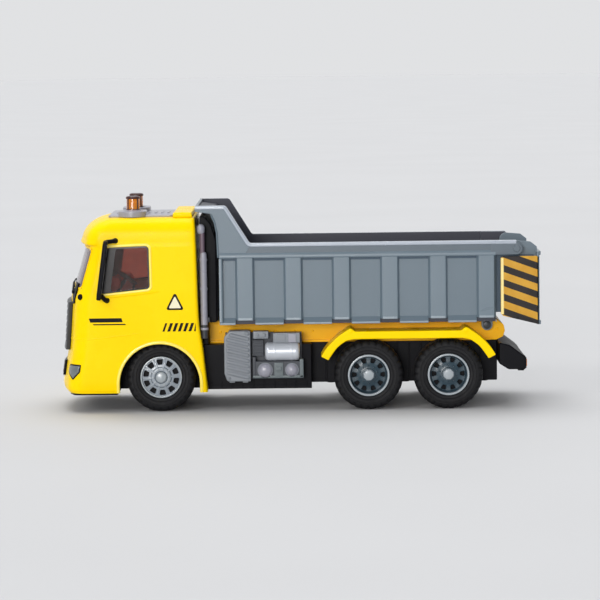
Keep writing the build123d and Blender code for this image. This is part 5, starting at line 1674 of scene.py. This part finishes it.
def mitred(pts, y, s):
    """Frames along an open line in the plane of one side, its section carried square round each bend."""
    n = len(pts)
    fr = []
    for i in range(n):
        p_ = Vector(pts[i])
        d1 = (p_ - Vector(pts[i - 1])).normalized() if i else None
        d2 = (Vector(pts[i + 1]) - p_).normalized() if i < n - 1 else None
        d1 = d1 or d2
        d2 = d2 or d1
        n1, n2 = Vector((-d1.y, d1.x)), Vector((-d2.y, d2.x))
        m_ = (n1 + n2) / max(0.3, 1 + n1.dot(n2))
        fr.append((Vector((p_.x, s * y, p_.y)), Vector((m_.x, 0, m_.y)), Vector((0, s, 0))))
    return fr


def recolour(part, mat, test):
    """Another material for the faces of a piece that pass a test of centre and normal."""
    if mat not in part.mats:
        part.mats.append(mat)
    k = part.mats.index(mat)
    part.bm.normal_update()
    for f in part.bm.faces:
        if test(f.calc_center_median(), f.normal):
            f.material_index = k


p = Part("bed_tub_visual", "bed", "bed_grey", "bed_tub")
for s in (1, -1):
    def ys(a, b):
        return sorted((s * a, s * b))
    # panel
    y0, y1 = ys(51.8, 54.0)
    p.add(prism([(59.4, 68.8), (-147.3, 68.8), (-147.3, 117.0), (59.4, 117.0)], "y", y0, y1), "bed", 0.5, 2)
    # rail with the side of the canopy, its face a little hollow below the bead
    y0, y1 = ys(51.8, 56.6)
    rail = rounded(RAIL_POLY, [0.6, 0.4, 0.4, 2.6, 2.6, 0.8, 0.8, 3.0, 2.0, 3.0], 4)
    p.add(prism(rail, "y", y0, y1), "bed", 0.7, 3)
    # lighter sweep along the foot of the rail: painted light
    line = [(-147.1, 115.0), (59.2, 115.0)]
    p.add(sweep(mitred(line, 56.4, s), [(0.1, -1.6), (0.1, 0.5), (0.5, 0.95), (1.2, 1.05), (2.4, 0.95), (3.5, 0.6), (4.3, 0.3), (4.5, -1.6)], closed=False), "bed_rib_painted_light")
    # darker strip on the upper face of the rail, under the bead: painted shade
    y0, y1 = ys(55.8, 56.75)
    p.add(prism([(-147.15, 119.0), (-147.15, 124.0), (36.6, 124.0), (39.6, 119.0)], "y", y0, y1), "bed_rail", 0.15, 1)
    # bead along the top edge, round the bends and to the tip of the canopy, in a lighter grey as a painted highlight
    line = rounded([(-147.1, 126.3), (36.5, 126.3), (54.1, 154.6), (76.9, 154.6), (76.9, 100.0), (-147.1, 100.0)], [0, 3.0, 3.0, 0, 0, 0], 8)[:-2]
    line = [q_ for q_ in line if q_[1] > 110.0]
    p.add(sweep(mitred(line, 56.4, s), [(0.07, -4.75), (0.07, 0.5), (-0.2, 0.95), (-0.55, 1.15), (-2.15, 1.15), (-2.5, 0.85), (-2.75, 0.1), (-2.75, -4.75)],
                closed=False), "bed_painted_highlight")
    # soft fold along the front edge of the canopy side
    line = [(60.2, 116.0), (60.9, 134.3), (62.5, 142.4), (65.2, 148.2)]
    p.add(sweep(mitred(line, 56.5, s), [(-0.6, -0.6), (-0.5, 0.5), (0.3, 0.95), (0.75, 0.5), (0.85, -0.6)], closed=False), "bed")
    # ribs with tapered flanks, lighter than the panels as painted light, and a lower edge lighter still as a painted
    # highlight
    for i in range(6):
        xc = 40.3 - i * 36.1
        a = [(xc - 7.3, 53.4), (xc - 7.3, 54.0), (xc - 5.7, 57.0), (xc + 5.7, 57.0), (xc + 7.3, 54.0), (xc + 7.3, 53.4)]
        p.add(prism([(x, s * y) for x, y in a], "z", 68.6, 115.6), "bed_rib_painted_light", 0.55, 2, 20)
        p.add(prism([(x, s * y) for x, y in [(xc - 5.6, 55.0), (xc - 5.6, 56.9), (xc - 5.2, 57.3), (xc + 5.2, 57.3), (xc + 5.6, 56.9), (xc + 5.6, 55.0)]],
                    "z", 68.5, 70.3), "bed_mid_painted_highlight", 0.4, 2)
    # painted shade strip at the top of each recess, under the rail
    xs = [57.0] + sum([[40.3 - i * 36.1 + 7.0, 40.3 - i * 36.1 - 7.0] for i in range(6)], []) + [BED_X0 + 0.3]
    for a, b in zip(xs[0::2], xs[1::2]):
        y0, y1 = ys(53.6, 54.3)
        p.add(box(b, a, y0, y1, 113.2, 115.6), "bed_shade", 0.12, 1)
    # flared lip below each recess, its outer edge lighter as a painted highlight
    xs = [59.6] + sum([[40.3 - i * 36.1 + 7.3, 40.3 - i * 36.1 - 7.3] for i in range(6)], []) + [BED_X0]
    for a, b in zip(xs[0::2], xs[1::2]):
        prof = [(s * 52.2, 65.2), (s * 56.3, 65.2), (s * 56.7, 65.5), (s * 56.7, 66.4), (s * 55.6, 68.0), (s * 54.0, 70.4), (s * 52.2, 70.4)]
        p.add(prism(prof, "x", b, a), "bed", 0.35, 2, 20)
        prof = [(s * 56.0, 65.3), (s * 56.8, 65.3), (s * 57.0, 65.7), (s * 57.0, 66.4), (s * 56.7, 66.8), (s * 56.0, 66.8)]
        p.add(prism(prof, "x", b + 0.2, a - 0.2), "bed_mid_painted_highlight", 0.2, 2, 20)
    # shaded strip behind the notches below the ribs
    y0, y1 = ys(50.4, 52.6)
    p.add(box(-147.1, 57.0, y0, y1, 65.4, 69.2), "bed_inner_painted_shade", 0.3)
    # corner post, its front strip lighter as a painted highlight
    y0, y1 = ys(53.4, 56.9)
    p.add(box(56.8, 59.6, y0, y1, 66.4, 115.6), "bed", 0.9, 3)
    y0, y1 = ys(54.6, 57.0)
    p.add(box(57.6, 59.7, y0, y1, 67.0, 115.2), "bed_mid_painted_highlight", 0.9, 3)
    # inner wall and web inside the tailgate, dark as painted shade, and the arm of the rail
    y0, y1 = ys(48.3, 50.5)
    p.add(box(-176.0, -147.0, y0, y1, 72.0, 115.0), "bed_shade", 0.5)
    y0, y1 = ys(48.6, 53.2)
    p.add(box(-147.3, -145.1, y0, y1, 72.0, 115.0), "bed_shade", 0.3)
    # arm of the rail in the darker grey: painted shade
    y0, y1 = ys(50.5, 57.2)
    arm = [(-143.4, 115.5), (-143.4, 126.2), (-161.4, 126.2), (-163.6, 125.4), (-165.4, 123.8)] + \
        [(GATE_X + 4.6 * cos(radians(148) + radians(122) * k / 10), GATE_Z + 4.6 * sin(radians(148) + radians(122) * k / 10)) for k in range(11)]
    p.add(prism(arm, "y", y0, y1), "bed_rail", 0.7, 2)
    # the same lighter bead on the arm: painted highlight
    line = [(-162.6, 126.27), (-147.15, 126.27)]
    p.add(sweep(mitred(line, 56.4, s), [(0.07, -4.75), (0.07, 0.5), (-0.2, 0.95), (-0.55, 1.15), (-2.15, 1.15), (-2.5, 0.85), (-2.75, 0.1), (-2.75, -4.75)],
                closed=False), "bed_painted_highlight")
    p.add(lathe([(56.9, 2.6), (57.9, 2.6), (58.3, 2.2), (58.3, 0.0)], (GATE_X, 0, GATE_Z), (0, s, 0), 28), "bed_rail")
    # sills
    y0, y1 = ys(19.0, 25.0)
    p.add(box(-126.0, 50.0, y0, y1, 66.3, 72.4), "bed", 0.5)
    # lugs of the tilt pin
    y0, y1 = ys(31.6, 35.2)
    lug = [(PIVOT_X - 4.2, 73.0), (PIVOT_X - 4.2, PIVOT_Z)] + [(PIVOT_X + 4.2 * cos(pi + pi * k / 12), PIVOT_Z + 4.2 * sin(pi + pi * k / 12)) for k in range(1, 12)] + \
        [(PIVOT_X + 4.2, PIVOT_Z), (PIVOT_X + 4.2, 73.0)]
    p.add(prism(lug, "y", y0, y1), "bed", 0.4)
# floor and the cross ribs under it
p.add(box(-176.0, 58.6, -50.3, 50.3, 72.0, 74.4), "bed", 0.3)
p.add(box(-146.9, 58.5, -52.4, 52.4, 72.15, 74.25), "bed", 0.3)
for k in range(8):
    x = 46.0 - k * 24.0
    p.add(box(x - 0.9, x + 0.9, -51.9, 51.9, 69.2, 72.3), "bed", 0.3)
# head wall that leans forward into the canopy, with its lip at the tip
head = rounded([(59.6, 67.4), (59.6, 113.7), (60.4, 134.5), (62.0, 142.7), (64.9, 148.6), (77.1, 150.4), (77.1, 154.6), (74.9, 154.6), (74.9, 152.4),
                (63.4, 150.8), (60.0, 143.6), (58.2, 134.7), (57.4, 113.7), (57.4, 67.4)],
               [0.3, 4, 4, 3, 3, 0.9, 0.8, 0.8, 0.6, 3, 3, 4, 4, 0.3], 5)
p.add(prism(head, "y", -53.2, 53.2), "bed", 0.4, 2)
# swages pressed into the head wall, seen from the front and from inside
for y in (-34.0, -17.0, 0.0, 17.0, 34.0):
    p.add(prism(rounded([(y - 2.6, 76.0), (y + 2.6, 76.0), (y + 2.6, 128.0), (y - 2.6, 128.0)], 2.4, 5), "x", 59.0, 60.3), "bed", 0.5)
# painted shade: the inside faces take a darker material than the outside
recolour(p, "bed_inner_painted_shade", lambda c, n: (abs(c.y) < 52.6 and n.y * c.y < -30.0 and c.z > 73.0 and c.x < 76.0) or
         (n.x < -0.25 and 56.0 < c.x < 73.9 and c.z > 73.0 and abs(c.y) < 53.0 and n.z < 0.98) or
         (c.z > 74.0 and n.z > 0.7 and abs(c.y) < 51.9 and c.z < 75.0) or
         (n.z > 0.6 and c.z > 149.0 and 60.0 < c.x < 75.0 and abs(c.y) < 52.0) or
         (n.x < -0.9 and 74.0 < c.x < 75.2 and c.z > 152.6 and abs(c.y) < 52.0))
p.done()

p = Part("bed_pin_visual", "bed", "steel", "bed_pin")
p.add(lathe([(-36.0, 0.0), (-36.0, 1.5), (-35.6, 2.0), (35.6, 2.0), (36.0, 1.5), (36.0, 0.0)], (PIVOT_X, 0, PIVOT_Z), (0, 1, 0), 32), "steel")
for s in (1, -1):
    p.add(lathe([(35.0, 3.1), (36.0, 3.1), (36.3, 2.7), (36.4, 0.0), (35.0, 0.0)], (PIVOT_X, 0, PIVOT_Z), (0, s, 0), 32), "grille")
p.done()

# ===========================================================================
# tailgate
# ===========================================================================
p = Part("tailgate_visual", "tailgate", "bed_grey", "tailgate")
p.add(prism(rounded([(-57.0, 63.0), (57.0, 63.0), (57.0, 118.0), (-57.0, 118.0)], 1.2, 4), "x", -179.9, -177.9), "bed", 0.5)
for y in (-36.0, 0.0, 36.0):
    rib = [(-179.7, y - 6.6), (-181.2, y - 5.0), (-181.2, y + 5.0), (-179.7, y + 6.6)]
    p.add(prism(rib, "z", 67.0, 114.0), "bed", 0.4, 2, 20)
for z0, z1 in ((63.0, 66.0), (115.0, 118.0)):
    p.add(box(-181.0, -179.5, -56.0, 56.0, z0, z1), "bed", 0.45)
for s in (1, -1):
    y0, y1 = sorted((s * 54.8, s * 57.0))
    cheek = rounded([(-151.5, 114.4), (-151.5, 70.0), (-179.7, 63.0), (-179.7, 114.4)], [1.6, 1.8, 0.8, 0.8], 4)
    p.add(prism(cheek, "y", y0, y1), "stripes", 0.45, 2)
    # rolled front edge, pale gold as a painted highlight
    path = [(-152.3, s * 56.0, 113.2), (-152.3, s * 56.0, 100.0), (-152.3, s * 56.0, 85.0), (-152.3, s * 56.0, 71.0)]
    p.add(tube(path, 1.35, 16), "gold_painted_highlight")
    y0, y1 = sorted((s * 44.6, s * 47.8))
    ear = [(GATE_X, GATE_Z + 5.4)] + [(GATE_X + 5.4 * cos(pi / 2 - pi * k / 12), GATE_Z + 5.4 * sin(pi / 2 - pi * k / 12)) for k in range(1, 12)] + \
        [(GATE_X, GATE_Z - 5.4), (-178.9, 111.0), (-178.9, 120.8), (-174.0, 124.6)]
    p.add(prism(ear, "y", y0, y1), "bed", 0.5)
    p.add(lathe([(47.0, 0.0), (47.0, 2.0), (54.9, 2.0), (55.2, 1.7), (55.2, 0.0)], (GATE_X, 0, GATE_Z), (0, s, 0), 24), "bed")
p.done()

# ===========================================================================
# floor, light and camera
# ===========================================================================
def floor():
    n = Nodes("pale_floor")
    b = n.bsdf
    s = n.noise(3.0, 2.0, 0.5)
    n.link(n.ramp(s.outputs["Fac"], [(0.3, (0.576, 0.576, 0.581)), (0.7, (0.592, 0.592, 0.597))]), b.inputs["Base Color"])
    b.inputs["Roughness"].default_value = 0.75
    b.inputs["Specular IOR Level"].default_value = 0.2
    me = bpy.data.meshes.new("floor")
    me.from_pydata([(-40, -40, 0), (40, -40, 0), (40, 40, 0), (-40, 40, 0)], [], [(0, 1, 2, 3)])
    me.materials.append(n.m)
    o = bpy.data.objects.new("floor", me)
    bpy.context.scene.collection.objects.link(o)


floor()


def sun(name, azimuth, elevation, strength, spread, colour=(1, 1, 1)):
    """Wide soft light from far away; azimuth from +Y towards +X."""
    d = bpy.data.lights.new(name, "SUN")
    d.energy = strength
    d.angle = radians(spread)
    d.color = colour
    o = bpy.data.objects.new(name, d)
    a, e = radians(azimuth), radians(elevation)
    towards = Vector((sin(a) * cos(e), cos(a) * cos(e), sin(e)))
    o.location = towards * 3.0
    o.rotation_euler = (-towards).to_track_quat("-Z", "Y").to_euler()
    bpy.context.scene.collection.objects.link(o)
    return o


sun("key_light", 36.0, 31.0, 0.62, 20.0, (1.0, 0.99, 0.97))
sun("front_fill", 12.0, 6.0, 1.92, 22.0, (1.0, 0.99, 0.98))
sun("top_light", 175.0, 78.0, 1.85, 50.0, (0.98, 0.99, 1.0))

# pale studio: lighter behind the truck, darker behind the photographer
world = bpy.data.worlds.new("studio")
bpy.context.scene.world = world
world.use_nodes = True
wt = world.node_tree
bg = wt.nodes["Background"]
tc = wt.nodes.new("ShaderNodeTexCoord")
sep = wt.nodes.new("ShaderNodeSeparateXYZ")
wt.links.new(tc.outputs["Generated"], sep.inputs[0])
rng = wt.nodes.new("ShaderNodeMapRange")
rng.inputs["From Min"].default_value = -0.6
rng.inputs["From Max"].default_value = 0.6
wt.links.new(sep.outputs["Y"], rng.inputs["Value"])
rmp = wt.nodes.new("ShaderNodeValToRGB")
rmp.color_ramp.elements[0].position = 0.0
rmp.color_ramp.elements[0].color = (0.752, 0.759, 0.772, 1.0)
rmp.color_ramp.elements[1].position = 1.0
rmp.color_ramp.elements[1].color = (0.26, 0.27, 0.29, 1.0)
wt.links.new(rng.outputs["Result"], rmp.inputs["Fac"])
wt.links.new(rmp.outputs["Color"], bg.inputs["Color"])
bg.inputs["Strength"].default_value = 1.0

scene = bpy.context.scene
scene.view_settings.view_transform = "Standard"
scene.view_settings.look = "None"
scene.view_settings.exposure = 0.0
scene.view_settings.gamma = 1.0

cam_data = bpy.data.cameras.new("camera")
cam_data.lens = 161.1
cam_data.sensor_width = 36.0
cam_data.clip_start = 0.05
cam_data.clip_end = 200.0
cam = bpy.data.objects.new("camera", cam_data)
bpy.context.scene.collection.objects.link(cam)
CAM_LOC = Vector((-0.0007, 2.057, 0.2625))
CAM_AIM = Vector((-0.0007, 0.057, 0.0835))
ROLL = -0.7
d = (CAM_AIM - CAM_LOC).normalized()
q = d.to_track_quat("-Z", "Y")
cam.rotation_mode = "QUATERNION"
cam.location = CAM_LOC
cam.rotation_quaternion = q @ Matrix.Rotation(radians(ROLL), 3, "Z").to_quaternion()
bpy.context.scene.camera = cam

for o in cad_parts.values():
    if not o.hide_render:
        print("CAD node still showing:", o.name)
